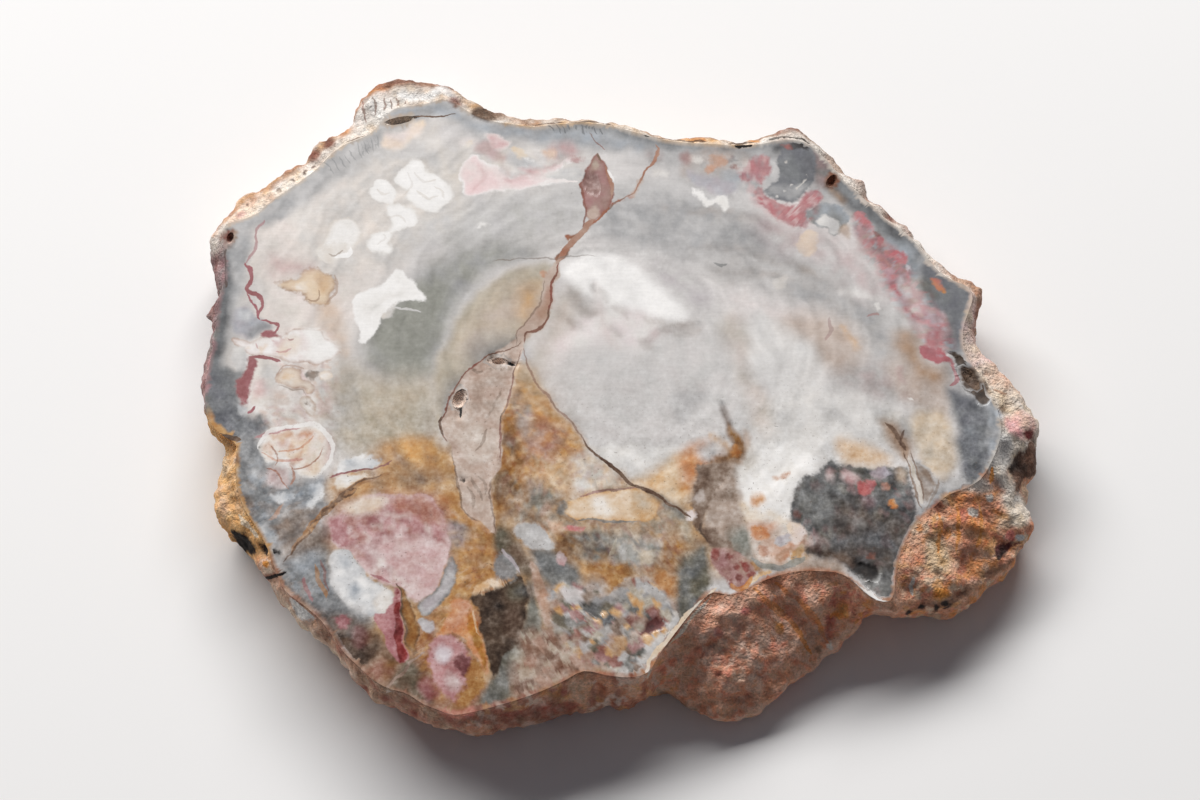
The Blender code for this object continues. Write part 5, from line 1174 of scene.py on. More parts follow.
# %% Paint the top
draw("""
patch shell/pink 0.2 1 white 0.2: -17.3,30.4 -16.4,31.6 -15.4,31.8 -14.8,30.9 -13.4,30.6 -12.4,30 -11.4,29
    -9.6,29 -8.2,29.2 -6.6,29.9 -5.2,30.6 -3.6,31.3 -4,30.5 -5.4,29.6 -7.4,28.9 -6,28.5 -3,28.4 -6.4,28
    -8.6,27.9 -11,27.3 -13.4,27 -15.4,26.6 -16.5,26.7 -16.9,28.2 -17.6,29.2
stroke rose 0.5 0.35 0.5: -12.4,28.4 -10,28.9 -7.6,29.4 -5,30.6
stroke rose 0.4 0.35 0.4: -15.6,27.6 -14.6,29 -15.2,30.6
patch rosered/pink 0.25 1 pink: -14.8,34.2 -13.8,34.7 -12.6,34.6 -11.8,33.9 -11.2,33.3 -12,32.7 -12.8,32.4
    -13.6,32.9 -14,33.6
patch pink/pearl 0.4 0.8: -17.6,34 -16.8,34.4 -15.8,34 -15.2,33.2 -16,32.6 -17.2,33
patch cream/pearl 0.3 0.8: -16.8,33.6 -16,33.8 -15.8,33.1 -16.5,32.9
patch rose/stone 0.6 0.7: -7,33 -4,33.4 -3.2,32 -5,30.8 -7,31.4
patch rose/mauve 0.5 0.5: -15,33.4 -13.4,33.4 -12.4,31.9 -11.6,31.4 -12.4,30.8 -14,31.6 -15.4,32.4
patch silver/bluegrey 0.4 0.7: -11.8,31.6 -10,31.8 -8.4,31 -8,30.2 -9.6,29.8 -11.2,30.4
patch cream/bone 0.3 0.9: -10.9,32.6 -9.8,32.3 -9.2,31.7 -10.2,31.4 -11,32
patch white 0.2 0.8: -9.6,31.4 -9,31.5 -8.4,31 -9,30.9
patch rose/pink 0.35 0.7: -10.2,30.2 -8.8,30 -7.6,29.6 -6,30.4 -7.2,28.9 -9,29.2
patch rose/mauve 0.3 0.8: -4.2,31.2 -3.2,31.5 -2.6,31 -3.4,30.6
patch peach/apricot 0.35 0.7: -7.6,32.6 -6.4,32.6 -5.9,31.6 -6.6,31.1 -7.4,31.8
patch mauve/silver 0.35 0.6: -12.6,30.4 -11.6,29.8 -11.4,28.8 -12.2,29.2 -12.9,29.9
patch bluegrey/pearl 0.35 0.6: -7.4,29 -5.2,29.6 -3.4,30.2 -2.6,29.4 -3.4,28.6 -5.4,28.4
stroke pink/white 0.3 0.15: -8,28.1 -5.4,28.3 -3,28.4
patch mauve/plum 0.5 0.3: -11,36.6 -9.4,36.4 -8.6,35.6 -10,35.2
patch white/pearl 0.25 0.8: -15.3,22.6 -14.6,22.9 -13.7,22.4 -14.6,22 -15.2,22.1
patch pearl/bone 0.35 0.6: 5.9,29.7 6.6,30 7.5,29.3 7.2,28.7 6.2,28.9
patch dusk/mauve 0.5 0.5: 5,32.2 6.4,32.4 6.6,31.2 5.6,30.8
stroke rust/umber 0.18 0.1 0.7: -2,35 -1.4,33.9 -0.5,33 0.2,32.4
""")
# Fine dark hairs of the old wood hang from the rim in two rows.
HAIRS = 9
HAIR_STEP = 0.75
hand = np.random.default_rng(7)
for i in range(HAIRS):
    x, y = -6.9 + HAIR_STEP * i, 35.9
    length = hand.uniform(0.6, 1.5)
    hair = np.array([(x, y), (x + 0.3 * length, y - 0.5 * length), (x + 0.5 * length, y - length)])
    stroke("iron/slate", hair, 0.2, 0.12, 0.7)
for i in range(HAIRS):
    x, y = -33.8 + HAIR_STEP * i, 31.2 + 0.42 * i
    hair = np.array([(x, y), (x + 0.4, y - 0.9), (x + 0.9, y - 1.8)])
    stroke("slate", hair, 0.16, 0.12, 0.45)
# The black stroke at -26.5,36.3, the umber and coal patch at -46,21, the black pocket at -37.5,-18.8, the
# black crack at -37,-21.7 and the coal stroke at the left ledge's step from -44.6,-4 to -42,-5 are painted
# shade of a crevice, pits, a crack and a step that the face isn't sunk for.
draw("""
stroke black/coal 0.55 0.12: -26.5,36.3 -25.3,36.4 -24,36.6 -22.5,36.9
stroke umber/bark 0.25 0.1: -23,36.8 -21.5,37.1 -20,37.3 -18.3,37.5
stroke black 0.4 0.12: 15.6,32.9 16.4,32.9 17.8,33.1
stroke black 0.3 0.12: 4.4,34.6 5.4,34.3
patch umber/coal 0.4 0.7: -45.9,22.4 -44.6,22 -44.2,20.6 -45,19.4 -45.9,20.2
stroke bark/iron 0.5 0.3 0.7: -45.3,19.5 -45.2,17 -44.9,14.5
patch coal/black 0.2: -38.6,-18 -37.6,-18.5 -36,-18.6 -37,-19.1 -37.8,-19.4
stroke black/coal 0.5 0.15: -38,-22.2 -36.8,-21.7 -35.6,-21.2
stroke coal/umber 0.8 0.3: -44.6,-4 -43.4,-4.7 -42,-5
stroke coal/umber 0.7 0.35 0.8: -36,-22.5 -34.6,-24 -32.6,-25.4 -31,-26.6
""")

# %% [markdown]
# The fine growth rings run round the heart, a little lighter and darker by turns. They are noise that is
# stretched round the heart and short across it, which wavers as a real log's rings do, and even circles
# wouldn't.

# %% Growth rings
HEART = (2.0, 6.0)
OVAL = (1.0, 1.12)
RING_WAVER = 1.5
MOTTLING = 0.08
RING_KINDS = ((1.1, 3.2, 0.17), (0.5, 6, 0.12))
RINGS_BEGIN, RINGS_FULL = 7, 15

away = station - np.array(HEART)
radius = np.linalg.norm(away * OVAL, axis=1) + RING_WAVER * cloud(12, 97)
turn = np.arctan2(away[:, 1], away[:, 0])
rings = np.zeros(count)
for ring_width, unevenness, contrast in RING_KINDS:
    round_about = np.column_stack([radius / ring_width, unevenness * np.cos(turn), unevenness * np.sin(turn)])
    rings += contrast * np.array([noise.noise(Vector(place)) for place in round_about])
tone *= (1 + MOTTLING * cloud(3.6, 131, 3) * allowed)[:, None]
tone *= (1 + rings * ramp(radius, RINGS_BEGIN, RINGS_FULL) * allowed)[:, None]
print("rings out to, mm:", round(radius.max(), 1))

# %% [markdown]
# The sandy pocket, its slits and the dark crevices are truly sunk into the face, because a low light shows
# their walls. Each row gives a depth and an outline.

# %% The hollows
WALL = 0.35
UNEVEN_FLOOR = 0.5
HOLLOWS = """
0.12: -10.3,7.8 -13.5,5 -16.8,2.5 -18.3,-2 -18.1,-4.8 -16.8,-8.5 -15.4,-13 -12.3,-16.2 -12.5,-9.5 -11.4,-4
    -10.4,1.5 -9.6,6.4
0.5: -12.9,5.3 -11.5,5.4 -10,4.9 -10.4,4.4 -11.8,4.8
0.45: -17.2,0.3 -16.2,-0.7 -16,-2.2 -16.5,-2.2 -16.9,-1
0.4: -16.2,-9.7 -15.5,-9.5 -15.4,-10.2 -16,-10.3
0.25: 40.8,6 43,4.4 44.8,1.8 44.8,-0.2 42.9,1 41.6,3
0.3: 29.2,-19.9 31.9,-20.9 32.2,-22.3 30.4,-22.1 29.4,-21
0.3: 5.9,-27.2 7.6,-26.9 6.6,-28.3 5,-28.6
0.3: -1.2,-24.8 0.9,-25.4 0.2,-26.6 -1.3,-25.4
0.15: -2,29.4 -0.6,28.6 -0.8,26.8 -2.2,27.4
"""

for row in rows_of(HOLLOWS):
    deep, points = row.split(":")
    outline = curve(places(points), closed=True)
    spots = near(outline, WALL)
    share = np.clip(0.5 - in_outline(station[spots], outline) / WALL, 0, 1)
    share = share * share * (3 - 2 * share) * (1 + UNEVEN_FLOOR * fine_mottle[spots])
    hollow[spots] = np.maximum(hollow[spots], share * float(deep))
print("deepest hollow, mm:", round(hollow.max(), 2))

# %% [markdown]
# The bark is white opal at the back and on the left, with brown stains along its outer line, and cream at
# the top. The front is granular: a brown knob, an orange one beside it, and a beige and ochre crust between.

# %% Paint the bark
allowed = kind == BARK
covered[allowed], lined[allowed] = 0, 0
tone[allowed] = colour("beige")
draw("""
patch bone/peach 2: -50,14 -50,30 -34,44 -10,44 -10,30 -30,24 -40,12
patch bone/honey 2: -20,44 26,42 26,28 -20,30
patch bone/beige 2: 22,38 48,20 46,8 34,14 20,28
patch dusk/plum 1.5: -50,18 -42,18 -40,0 -40,-4 -50,-4
patch honey/ochre 1.5: -50,-3 -41,-4 -34,-18 -30,-26 -40,-34 -50,-16
patch bone/cream 1.5: 42,6 54,6 54,-14 44,-14 40,-9
patch beige/peach 1: 41,16 48,14 48,3 43,4 40,8
patch tan/rust 1.5: -40,-20 -30,-26 -24,-32 -16,-37 -10,-36 -2,-33 6,-32 8,-44 -40,-44
patch apricot/terracotta 1.2: 5,-30 12,-23 20,-19 27,-20 34,-24 36,-30 30,-44 6,-44
patch apricot/terracotta 0.8: 34.5,-14 40,-9.5 46,-9 54,-12 54,-30 34,-32 34,-24
mosaic apricot/terracotta/rust/tan/taupe/buff 0.75 21 1 0.55: 9,-26 14,-24 20,-23 27,-22 33,-25 35,-34
    24,-42 8,-40
mosaic orange/tan/apricot/cream/terracotta/honey/rust/apricot 0.7 22 1 0.6: 36,-13 44,-10 53,-13 53,-27
    36,-28
mosaic tan/rust/ochre/beige/terracotta/brick 0.8 23 1 0.5: -10,-28 0,-30 7,-30 8,-42 -14,-42
mosaic bone/pearl/beige/peach 1.3 24 1 0.4: -48,18 -44,26 -30,42 -18,43 -18,37 -30,33 -40,24
""")

# %% Paint the bark at the back and the left
# The bark and terracotta patch at 27.5,28.3 and the coal and rust patch at -45.5,21 are painted shade in a
# cut and a pit of the rim.
draw("""
patch bark/terracotta 0.4: 26.6,27.4 26.8,28.8 27.8,29.2 28.6,28.4 28,27.4
patch coal/rust 0.4: -46,20.6 -45.8,21.8 -44.8,22 -44.4,21 -45,20.2
patch coal/olive 0.4: 40.8,6 41.8,5.9 43,4.6 44.4,2.9 45.3,0.8 44.8,-0.4 43.6,0 42,1.6 41.4,3
patch peach/shell 0.6: 42.4,13.6 44.4,13.4 45,9 46,5.6 44,4 42.6,7 42.2,10
stroke rust/orange 0.9 0.4 0.85: 44.9,14.4 44.4,11 45,7.4 47.4,4.6 49.6,2 51,-1.6
patch peach/apricot 0.6 0.7: -45.5,23 -43,25.5 -40.5,26.8 -40,25.8 -42.5,24 -44.5,22.6
stroke crimson 0.7 0.4 0.6: -44.2,23.4 -43.6,24 -42.9,24.2
stroke terracotta/honey 1.1 0.45 0.9: -46.8,21 -46.5,22.5 -44.3,25.2 -40,28.4 -36.5,31 -33.6,34.4 -32.8,38
    -31.6,41.4 -28,43 -24,42.8 -20,42.2 -16.4,40
patch rust/umber 0.4: -36.2,32 -35,33 -34.2,32 -35.2,31
patch rust/bark 0.4: -34.4,34 -33.4,34.6 -32.9,33.4 -33.8,32.8
patch orange/apricot 0.6: -33.4,35.4 -32,40 -29.5,42.6 -26,43 -27,40 -30,37 -31.5,34.8
patch pearl/bone 0.5: -31,36 -29,40 -26.6,40.6 -25.6,38.6 -27.6,36.6
stroke umber/rust 0.3 0.2 0.7: -29.5,39.5 -29,36.5; -28.4,40 -27.9,37.4; -27.3,39.8 -27,37.8; -26.2,39.5
    -26.1,37.8; -25.4,39.6 -25.2,38.2; -24.4,39.4 -24.3,38.4
patch terracotta/tan 0.5: -29,41.4 -25,43.2 -20,43.4 -16,42 -18,40.6 -22,41.4 -26,41.2
stroke bark/rust 0.6 0.3 0.7: -27,42.2 -24.5,41.9 -22.5,42.4
stroke white/pearl 1.2 0.4: -25.2,40 -22,39.9 -20,40.7 -18.4,39.4
stroke umber 0.35 0.2 0.8: -31.5,33.4 -29.5,34.3 -27.8,35.6 -26.4,37.6
""")
dots("bark", "-37.5,28.7 -36,29.7 -35,30.3 -39.4,27.2 -42.6,25.4", (0.3, 0.25), 0.15, 0.8)
draw("""
patch umber/olive 0.4: -16.2,38 -15,38.6 -13.4,38.4 -12.6,37.2 -13.6,36.2 -15.6,36.2
patch rust/umber 0.4 0.8: -19.2,39.4 -18,39.6 -17.6,38.6 -18.6,38.2
stroke tan/terracotta 0.8 0.35 0.8: -12,37.8 -6,37.4 0,37.4 6,35.8 12,34.8 18,34.6 22,35
stroke umber/coal 0.35 0.18 0.8: -9.5,36 -5,36.2 0,36.2 3,35.2 6,34.1 12,33.4 18,33.3
patch flame/orange 0.3 0.8: 8,34.6 10,34.3 12,34 11.6,33.3 9,33.8
patch flame/orange 0.3 0.9: 17,34.3 18.4,34.3 18.4,33.4 17.2,33.4
stroke coal 0.4 0.2 0.8: 19.6,33.5 21.4,34 23.4,33.7 24.8,32.9
patch coal 0.15: 15.6,33.3 16.4,33.7 17,33.3 16.2,32.9
stroke tan/rust 0.5 0.3 0.8: 25,34.6 28,31.6 31,28.6 35,24.8 38.4,20.8 41.4,17.6 44,15.4
patch orange/rust 0.3 0.9: 43.2,15.4 44.4,15.4 45,14 44.2,13.6
stroke maroon/rust 0.4 0.2 0.8: 42.8,14.4 43.4,13 42.9,11.4 42.4,9.4 42.1,8.2
stroke plum/bark 0.6 0.35 0.8: -46.4,19 -46.2,14 -46.4,9 -46.8,4 -47,0
""")

# %% Paint the shelf on the right
# The bark and coal patch from 47.3,-8.6 to 51.4,-7.4 is painted shade in the hollow of the side wall under
# the shelf's broken edge.
draw("""
patch bone/cream 0.4: 45.8,4 47.4,3.4 48.6,1.4 47.8,0.4 46.2,1.6 45.4,3
patch cream/bone 0.4: 45.6,1 49,1 50,-1.4 47.6,-1.8 45.8,-1
stroke umber 0.3 0.15: 45.4,1 46.2,0.8 47.2,0.9
patch bluegrey/silver 0.4: 45,-0.6 46.6,-1.4 46,-3.4 45,-4.4
patch buff/plum 0.4: 47,-2.2 49.4,-1.4 51,-2.8 50.6,-5 48.6,-5 47.2,-3.8
patch maroon/bark 0.25: 49.3,-3.8 50.4,-3.6 50.4,-4.8 49.4,-4.8
patch bark/coal 0.3: 47.3,-8.6 48.2,-7.2 49.2,-6.4 50.4,-5 51.4,-7.4 51,-9.4 49.4,-10 49,-11.6 48.2,-11.2
    47.6,-9.8
patch pearl/bone 0.4: 44.8,-3.8 47.2,-3.8 47.8,-7.6 46.6,-8.6 45,-8.4
stroke ochre/orange 0.5 0.25: 45.2,-8 45.4,-9 45.5,-10.2
stroke bone/cream 1.4 0.4: 45.8,-8 46.8,-9.8 48,-11.6
""")

# %% Paint the orange knob
# The umber and bark stroke along the knob's front, from 34.8,-26 to 48,-19.6, is painted shade on its outer
# wall, which faces away from the window.
draw("""
patch bone/beige 0.4: 38.5,-9.6 42,-9.4 45,-9.8 45.4,-11.2 42,-11.4 39,-11.4
patch cream/honey 0.5: 37.8,-17.4 39.4,-17 40.4,-19 39.8,-21.4 38,-21.4 37.2,-19.4
stroke bone 0.5 0.25: 36.1,-21.6 35.8,-22.8 35.9,-24
patch terracotta/tan 0.5 0.8: 35.2,-16.8 36.6,-16.8 37.2,-19.4 36.4,-20.6 35.2,-19.6
stroke flame/orange 0.4 0.2 0.7: 39.3,-13.8 39.4,-16.6 39.1,-19.2; 41,-13 41.3,-16 41,-19; 43.6,-12.6
    44,-15.4 43.8,-18.4
patch terracotta/orange 0.6 0.7: 41,-11.4 44.6,-11.6 45.4,-14.6 44.6,-18 42,-17.8 40.8,-14.6
patch rust/brick 0.35 0.8: 41,-13.8 42.2,-13.6 42.6,-15.2 41.4,-15.4
patch rust/umber 0.5 0.7: 41.4,-16 43.2,-16.2 43.4,-19.4 41.6,-19.4
patch bone/cream 0.4: 46.8,-11.6 49,-11.8 50.4,-13.6 49.4,-15.4 47.2,-15.2
patch bone 0.2: 44.6,-11.6 45.4,-11.6 45.4,-12.6 44.6,-12.4; 42.6,-13.6 43.4,-13.6 43.4,-14.4 42.6,-14.4
patch rust/coral 0.25: 46.9,-16.4 48,-16.2 48.2,-17.4 47,-17.6
patch white 0.15: 48.3,-16.6 49,-16.6 49,-17.4 48.3,-17.4
patch maroon/coal 0.2: 45.6,-18.2 47.2,-17.8 48.8,-17.8 47.6,-18.7 46,-19.8
patch flame/orange 0.3: 38.8,-23.4 39.8,-23.2 40.4,-24.2 39.2,-24.8
stroke umber/bark 1.2 0.5 0.85: 34.8,-26 37,-25.6 40,-25 43,-23 46,-21 48,-19.6
""")
dots("coal", "37.2,-25.5 39,-25.8 40,-25.2 35.6,-26.2", (0.5, 0.4), 0.15, 1.0)

# %% Paint the brown knob
# The coal and umber stroke low on the knob's front, from 6.8,-35.4 to 12,-38.8, is painted shade on its lower
# wall.
draw("""
stroke cream/bone 0.8 0.25: 13.8,-23.3 12.2,-24.4 11,-26 10,-27.8 8.6,-29 7,-31 6,-34
patch terracotta/taupe 0.6 0.7: 11.4,-25 14.4,-24.6 18,-24.8 19,-27.4 16,-29.4 12.4,-29.6 10.6,-28
patch rust/crimson 0.25: 16.4,-25.4 17.4,-25.3 17.6,-26.2 16.6,-26.3; 13.4,-28 14.2,-27.9 14.3,-28.7
    13.4,-28.7
stroke orange/terracotta 0.7 0.3 0.8: 17.8,-23 20,-25 22,-27 24.8,-31.2
stroke terracotta/orange 0.6 0.3 0.8: 20.2,-22.4 22.4,-24.2 24.6,-26.4 27,-30
patch orange/flame 0.25: 20.2,-27.4 21.2,-27.4 21.4,-28.5 20.4,-28.6
patch bark/umber 0.3 0.7: 25.2,-30.2 26,-30.2 26,-31 25.2,-31
stroke brick/maroon 0.8 0.35 0.8: 28.7,-25.6 26.6,-26.4 26.9,-29.8
mosaic terracotta/apricot/rust/orange 0.6 31 0.5 0.85: 26.4,-23 30,-23 31,-27.4 26.6,-27.6
patch orange/terracotta 0.35 0.8: 27.4,-25.2 28.6,-25.2 28.8,-26.8 27.6,-26.8
patch bone/beige 0.2: 26.6,-29.8 27.4,-29.8 27.4,-30.8 26.6,-30.8
stroke apricot/terracotta 1.2 0.6 0.8: 11,-37.4 15,-37.4 19,-36.6 22.6,-32.6
stroke coal/umber 0.9 0.5 0.85: 6.8,-35.4 9,-37 12,-38.8
mosaic terracotta/taupe/rust/buff/umber 0.65 32 0.8 0.5: 12,-29 22,-28 21,-33 14,-35
""")

# %% Paint the front crust and the left ledge
# The black and coal patches at -41.5,-17.5 and -38,-18.5 and the coal stroke at -37,-22 are painted shade in
# the ledge's pit, its pocket and its chip crack.
draw("""
patch apricot/tan 0.35: -2.8,-32.4 -0.8,-32.2 -0.6,-36 -1.6,-38 -2.8,-35.6
patch terracotta/apricot 0.35: 0.2,-34 1.8,-34 1.8,-36.4 0.4,-36.6
patch coal 0.15: -2.1,-31.7 -1.4,-31.6 -1.3,-32.3 -2,-32.4
stroke coal/bark 0.5 0.2: 0.6,-33.1 1.8,-33.5 3,-33.7
stroke brick/umber 2.2 0.5 0.8: -13,-39.4 -8,-38.6 -4,-38 -1.6,-37.6
stroke beige/bone 0.6 0.3: -20,-31 -22,-33.6 -23.6,-35.6
patch brick/rust 0.35: -19.4,-34.4 -18,-34.4 -17.8,-35.8 -19.2,-36
patch apricot/coral 0.5: -17.8,-34.8 -15,-36 -13.6,-37.8 -15.4,-38.6 -17.8,-37
patch honey/tan 0.6: -46,-5.6 -43,-6 -41,-9 -40.6,-13.6 -42.6,-16 -46,-12
stroke cream 0.7 0.3: -41.7,-14.3 -40.4,-15.8 -38.8,-17
patch black/coal 0.25: -42.4,-16.4 -41,-16.8 -40,-17.7 -39.8,-19 -41.3,-19.3 -42.4,-18
patch coal 0.25: -39,-17.6 -37.5,-17.9 -36,-18.6 -37.6,-19.6
patch apricot/peach 0.3: -39,-20.4 -38,-19.5 -36.6,-18.8 -35.4,-17.8 -35.8,-20 -37,-21.2 -38.6,-21.8
patch flame 0.15: -38.4,-20 -37.7,-20 -37.7,-20.7 -38.3,-20.7
stroke coal 0.7 0.25: -38.4,-22.6 -36.8,-21.9 -35.4,-21.1
stroke buff/cream 1.2 0.5: -37.4,-23 -35.8,-25.4 -33.6,-28 -31,-30.4 -29,-32.6 -27,-34.2
patch pearl 0.25: -35,-24.4 -34,-24.3 -33,-25.3 -31.8,-26.4 -32.7,-27.3 -34.2,-26.8
patch cream/honey 0.35 0.8: -44.6,-7 -43.2,-7.2 -42.8,-9 -44,-9.6
""")

# %% [markdown]
# At the back and on the right the side below the lip is stained brown, and fibres streak the bark along the
# log. The crust is painted paler than the polished agate, most of all on the granular front, the knobs and
# the shelf, which face away from the window: painted light that lifts their shade there, though nothing gets
# brighter than white stone. A narrow lip of the face takes the crust's colour.

# %% Stain and lighten the bark
BRIGHTEST = 0.74
STAIN_TOP, STAIN_FULL = 0.7, 1.4
STAIN, STAIN_LUMPS, MOST_STAIN = 0.62, 0.7, 0.95
LEFT_UNSTAINED = 0.7
FIBRE, FIBRE_LENGTH, FIBRE_CONTRAST = 0.8, 5, 0.35
LIP_WIDTH = 0.5

stained = np.clip(STAIN + STAIN_LUMPS * cloud(4, 151), 0, MOST_STAIN) * allowed
stained *= ramp(depth[:, 0], STAIN_TOP, STAIN_FULL) * ramp(station[:, 1], -2, 2)
stained *= 1 - LEFT_UNSTAINED * ramp(station[:, 0], -10, -15)
for ground in [tone] + [layer["paint"] for layer in layers]:
    ground[:] = ground * (1 - stained[:, None]) + mixed("tan/rust", everywhere) * stained[:, None]
streaks = [noise.noise(Vector((x / FIBRE, y / FIBRE, z / FIBRE_LENGTH))) for x, y, z in position[allowed]]
tone[allowed] *= (1 + FIBRE_CONTRAST * np.array(streaks))[:, None]

bark_x, bark_y = station[allowed].T
# Painted light: the bark is made paler towards the front, and more on the shelf and the knobs, to lift the
# shade they lie in, facing away from the window.
shade_lift = 1.6 - 0.75 * ramp(bark_y, -22, 38)
shade_lift *= 1 + 0.8 * ((bark_x > 42) & (abs(bark_y + 4) < 9))
shade_lift *= 1 + 0.35 * ((bark_x > 6) & (bark_y < -14))
for ground in [tone] + [layer["paint"] for layer in layers + lines]:
    lift = np.minimum(shade_lift, BRIGHTEST / ground[allowed].max(axis=1))
    ground[allowed] *= lift[:, None]

lip = np.flatnonzero((kind == FACE) & (from_bark < LIP_WIDTH))
tone[lip] = tone[nearest_bark[lip]] * (0.62 + 0.2 * ramp(station[lip, 1], -22, 18))[:, None]
for layer in layers:
    layer["edge"][lip] = FAR
print("painted:", len(layers), "layers and", len(lines), "layers of lines")

# %% [markdown]
# Last, the hollows are sunk into the mesh, and the paint is stored on its points for the finishes to read.
# Where the stone is busy, low on the face and in the hollows, its mottling will be deeper.

# %% Sink the hollows and store the paint
DULL_DEPTH, BUSY_DEPTH = 0.04, 0.1
CALM, BARK_BUSY = 0.32, 0.85

position[:, 2] -= np.where(kind == FACE, hollow, 0)
mesh.vertices.foreach_set("co", (position * MM).ravel())
mesh.update()


def store(name, form, values):
    """Keeps one value or colour for each point of the mesh."""
    mesh.attributes.new(name, form, "POINT")
    key = "color" if form == "FLOAT_COLOR" else "value"
    mesh.attributes[name].data.foreach_set(key, np.ascontiguousarray(values, dtype=np.float32).ravel())


store("tone", "FLOAT_COLOR", np.column_stack([tone, np.ones(count)]))
store("hollow", "FLOAT", ramp(hollow, 0, DULL_DEPTH))
busy = CALM + (1 - CALM) * ramp(station[:, 1], 6, -8) + ramp(hollow, 0, BUSY_DEPTH)
store("busy", "FLOAT", np.where(kind == BARK, BARK_BUSY, np.clip(busy, 0, 1)))
for i, layer in enumerate(layers, 1):
    store(f"layer_{i}", "FLOAT_COLOR", np.column_stack([layer["paint"], layer["strength"]]))
    store(f"edge_{i}", "FLOAT", layer["edge"])
for i, line in enumerate(lines, 1):
    store(f"line_{i}", "FLOAT_COLOR", np.column_stack([line["paint"], line["strength"]]))
    store(f"side_{i}", "FLOAT", line["side"])
    store(f"half_{i}", "FLOAT", line["half"])
print("stored:", len(mesh.attributes), "attributes")

# %% [markdown]
# One finish is built three times: polished on the face, rough on the bark, and sawn on the base. It draws
# the borders of the layers with a fine waver, then the lines, then a mottling, dark flecks, faint streaks and
# a fine speckle over all. Everything reads object coordinates, so it stays with the stone.

# %% The finishes
FINE_SIZE, BROAD_SIZE = 0.45, 1.4
FINE_WAVER, BROAD_WAVER = 0.3, 0.35
LINE_EDGE = 0.06
MOTTLE_DEPTH, MOTTLE_GRAIN, MOTTLE_BIAS = 1.5, 0.5, 0.06
FLECK_SIZE, FLECK_RANGE, FLECK_SHARE, FLECK_DARKNESS = 0.3, (0.15, 0.24), 0.45, 0.6
STREAK_SIZE, STREAK_TURN, STREAK_STRETCH, STREAK_CONTRAST = 2.4, 0.35, 9, 0.07
SPECKLE_SIZE, BUMP_SIZE = 0.22, 0.35
CONTRAST = 2.0
SATURATION = 0.97
HOLLOW_DULLNESS = 0.5
POLISHED, POLISHED_SHINE, STONY_SHINE = 0.5, 0.5, 0.2


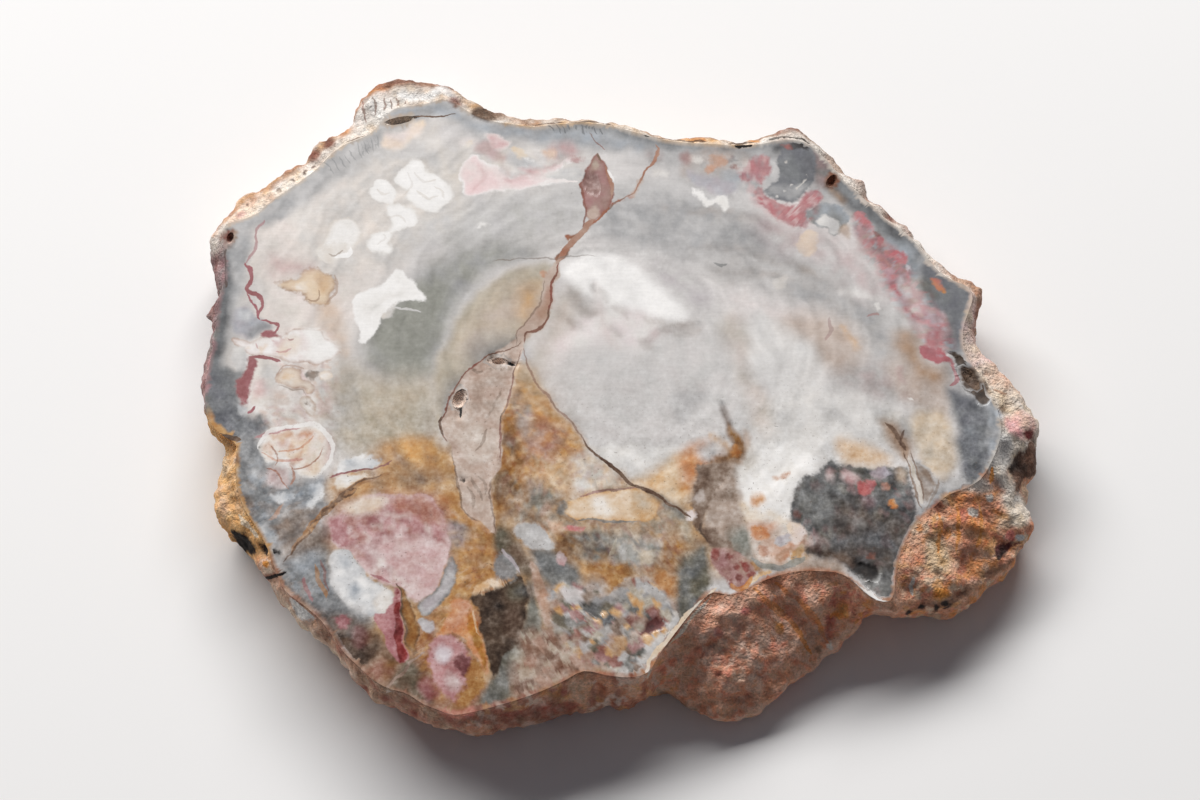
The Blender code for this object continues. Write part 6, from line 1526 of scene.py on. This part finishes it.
def finish(name, roughness, bump, speckle, richness, lump):
    """A stone finish. Its lumps of mottling are this large, and a bump of 0 leaves it smooth."""
    material = bpy.data.materials.new(name)
    material.use_nodes = True
    tree = material.node_tree
    shader = tree.nodes["Principled BSDF"]

    def node(kind, *inputs, **settings):
        """A node with these inputs, each of them a value, another node's output, or None to leave it."""
        made = tree.nodes.new("ShaderNode" + kind)
        for key, value in settings.items():
            setattr(made, key, value)
        for slot, value in zip(made.inputs, inputs):
            if isinstance(value, bpy.types.NodeSocket):
                tree.links.new(value, slot)
            elif value is not None:
                slot.default_value = value
        return made

    def maths(operation, *inputs):
        return node("Math", *inputs, operation=operation).outputs[0]

    def stored(name, output="Fac"):
        return node("Attribute", attribute_name=name).outputs[output]

    def spots(size, detail=2.0):
        """Noise with lumps of this size in millimetres, from -0.5 to 0.5."""
        made = node("TexNoise", place, None, 1 / (size * MM), detail)
        return maths("SUBTRACT", made.outputs["Fac"], 0.5)

    def smooth_step(value, low, high, below, above):
        return node("MapRange", value, low, high, below, above, interpolation_type="SMOOTHSTEP").outputs[0]

    def blend(share, below, above):
        made = node("Mix", data_type="RGBA")
        tree.links.new(share, made.inputs[0])
        tree.links.new(below, made.inputs[6])
        tree.links.new(above, made.inputs[7])
        return made.outputs[2]

    def cover(apart, width, name):
        """The shade with this paint over it where the distance is below zero, with an edge this wide."""
        share = maths("MULTIPLY", smooth_step(apart, width, -width, 0.0, 1.0), stored(name, "Alpha"))
        return blend(share, shade, stored(name, "Color"))

    place = node("TexCoord").outputs["Object"]
    fine = spots(FINE_SIZE, 3.0)
    broad = spots(BROAD_SIZE)
    waver = maths("ADD", maths("MULTIPLY", fine, FINE_WAVER), maths("MULTIPLY", broad, BROAD_WAVER))
    shade = stored("tone", "Color")
    for i in range(1, len(layers) + 1):
        shade = cover(maths("ADD", stored(f"edge_{i}"), waver), EDGE, f"layer_{i}")
    for i in range(1, len(lines) + 1):
        aside = maths("ABSOLUTE", maths("ADD", stored(f"side_{i}"), waver))
        shade = cover(maths("SUBTRACT", aside, stored(f"half_{i}")), LINE_EDGE, f"line_{i}")

    # The deeper the mottling, the darker and richer the colour, as where the agate is clearer.
    busy = stored("busy")
    mottle = maths("ADD", maths("MULTIPLY", spots(lump, 5.0), MOTTLE_DEPTH), spots(MOTTLE_GRAIN, 3.0))
    mottle = maths("MULTIPLY", maths("ADD", mottle, MOTTLE_BIAS), maths("MULTIPLY", busy, richness))
    rich = node("Gamma", shade, maths("ADD", mottle, 1.0)).outputs[0]
    flecks = smooth_step(spots(FLECK_SIZE), *FLECK_RANGE, 0.0, FLECK_SHARE)
    dark = node("RGB").outputs[0]
    dark.default_value = (*(colour("umber") * FLECK_DARKNESS), 1)
    rich = blend(maths("MULTIPLY", flecks, maths("MULTIPLY", busy, busy)), rich, dark)

    # The speckle and the streaks only make it a little brighter and darker.
    turned = node("Mapping", place, None, (0, 0, STREAK_TURN), (1, STREAK_STRETCH, 1)).outputs[0]
    streaks = node("TexNoise", turned, None, 1 / (STREAK_SIZE * MM), 3.0).outputs["Fac"]
    grain = maths("MULTIPLY", maths("ADD", spots(SPECKLE_SIZE, 3.0), fine), speckle)
    grain = maths("ADD", grain, maths("MULTIPLY", maths("SUBTRACT", streaks, 0.5), STREAK_CONTRAST))
    out = node("VectorMath", rich, operation="SCALE")
    tree.links.new(maths("ADD", maths("MULTIPLY", grain, CONTRAST), 1.0), out.inputs["Scale"])
    lively = node("HueSaturation", None, SATURATION, None, None, out.outputs[0])
    tree.links.new(lively.outputs[0], shader.inputs["Base Color"])
    dull = maths("MULTIPLY", stored("hollow"), HOLLOW_DULLNESS)
    tree.links.new(maths("ADD", dull, roughness), shader.inputs["Roughness"])
    shine = POLISHED_SHINE if roughness < POLISHED else STONY_SHINE
    shader.inputs["Specular IOR Level"].default_value = shine
    if bump:
        lift = node("Bump")
        lift.inputs["Strength"].default_value = 1.0
        lift.inputs["Distance"].default_value = bump * MM
        tree.links.new(spots(BUMP_SIZE, 4.0), lift.inputs["Height"])
        tree.links.new(lift.outputs[0], shader.inputs["Normal"])
    return material


mesh.materials.append(finish("polished face", roughness=0.22, bump=0.0, speckle=0.06, richness=1.0, lump=1.7))
mesh.materials.append(finish("stony bark", roughness=0.85, bump=0.3, speckle=0.42, richness=0.75, lump=0.9))
mesh.materials.append(finish("sawn base", roughness=0.8, bump=0.05, speckle=0.12, richness=0.6, lump=1.7))
print("finishes:", [material.name for material in mesh.materials])
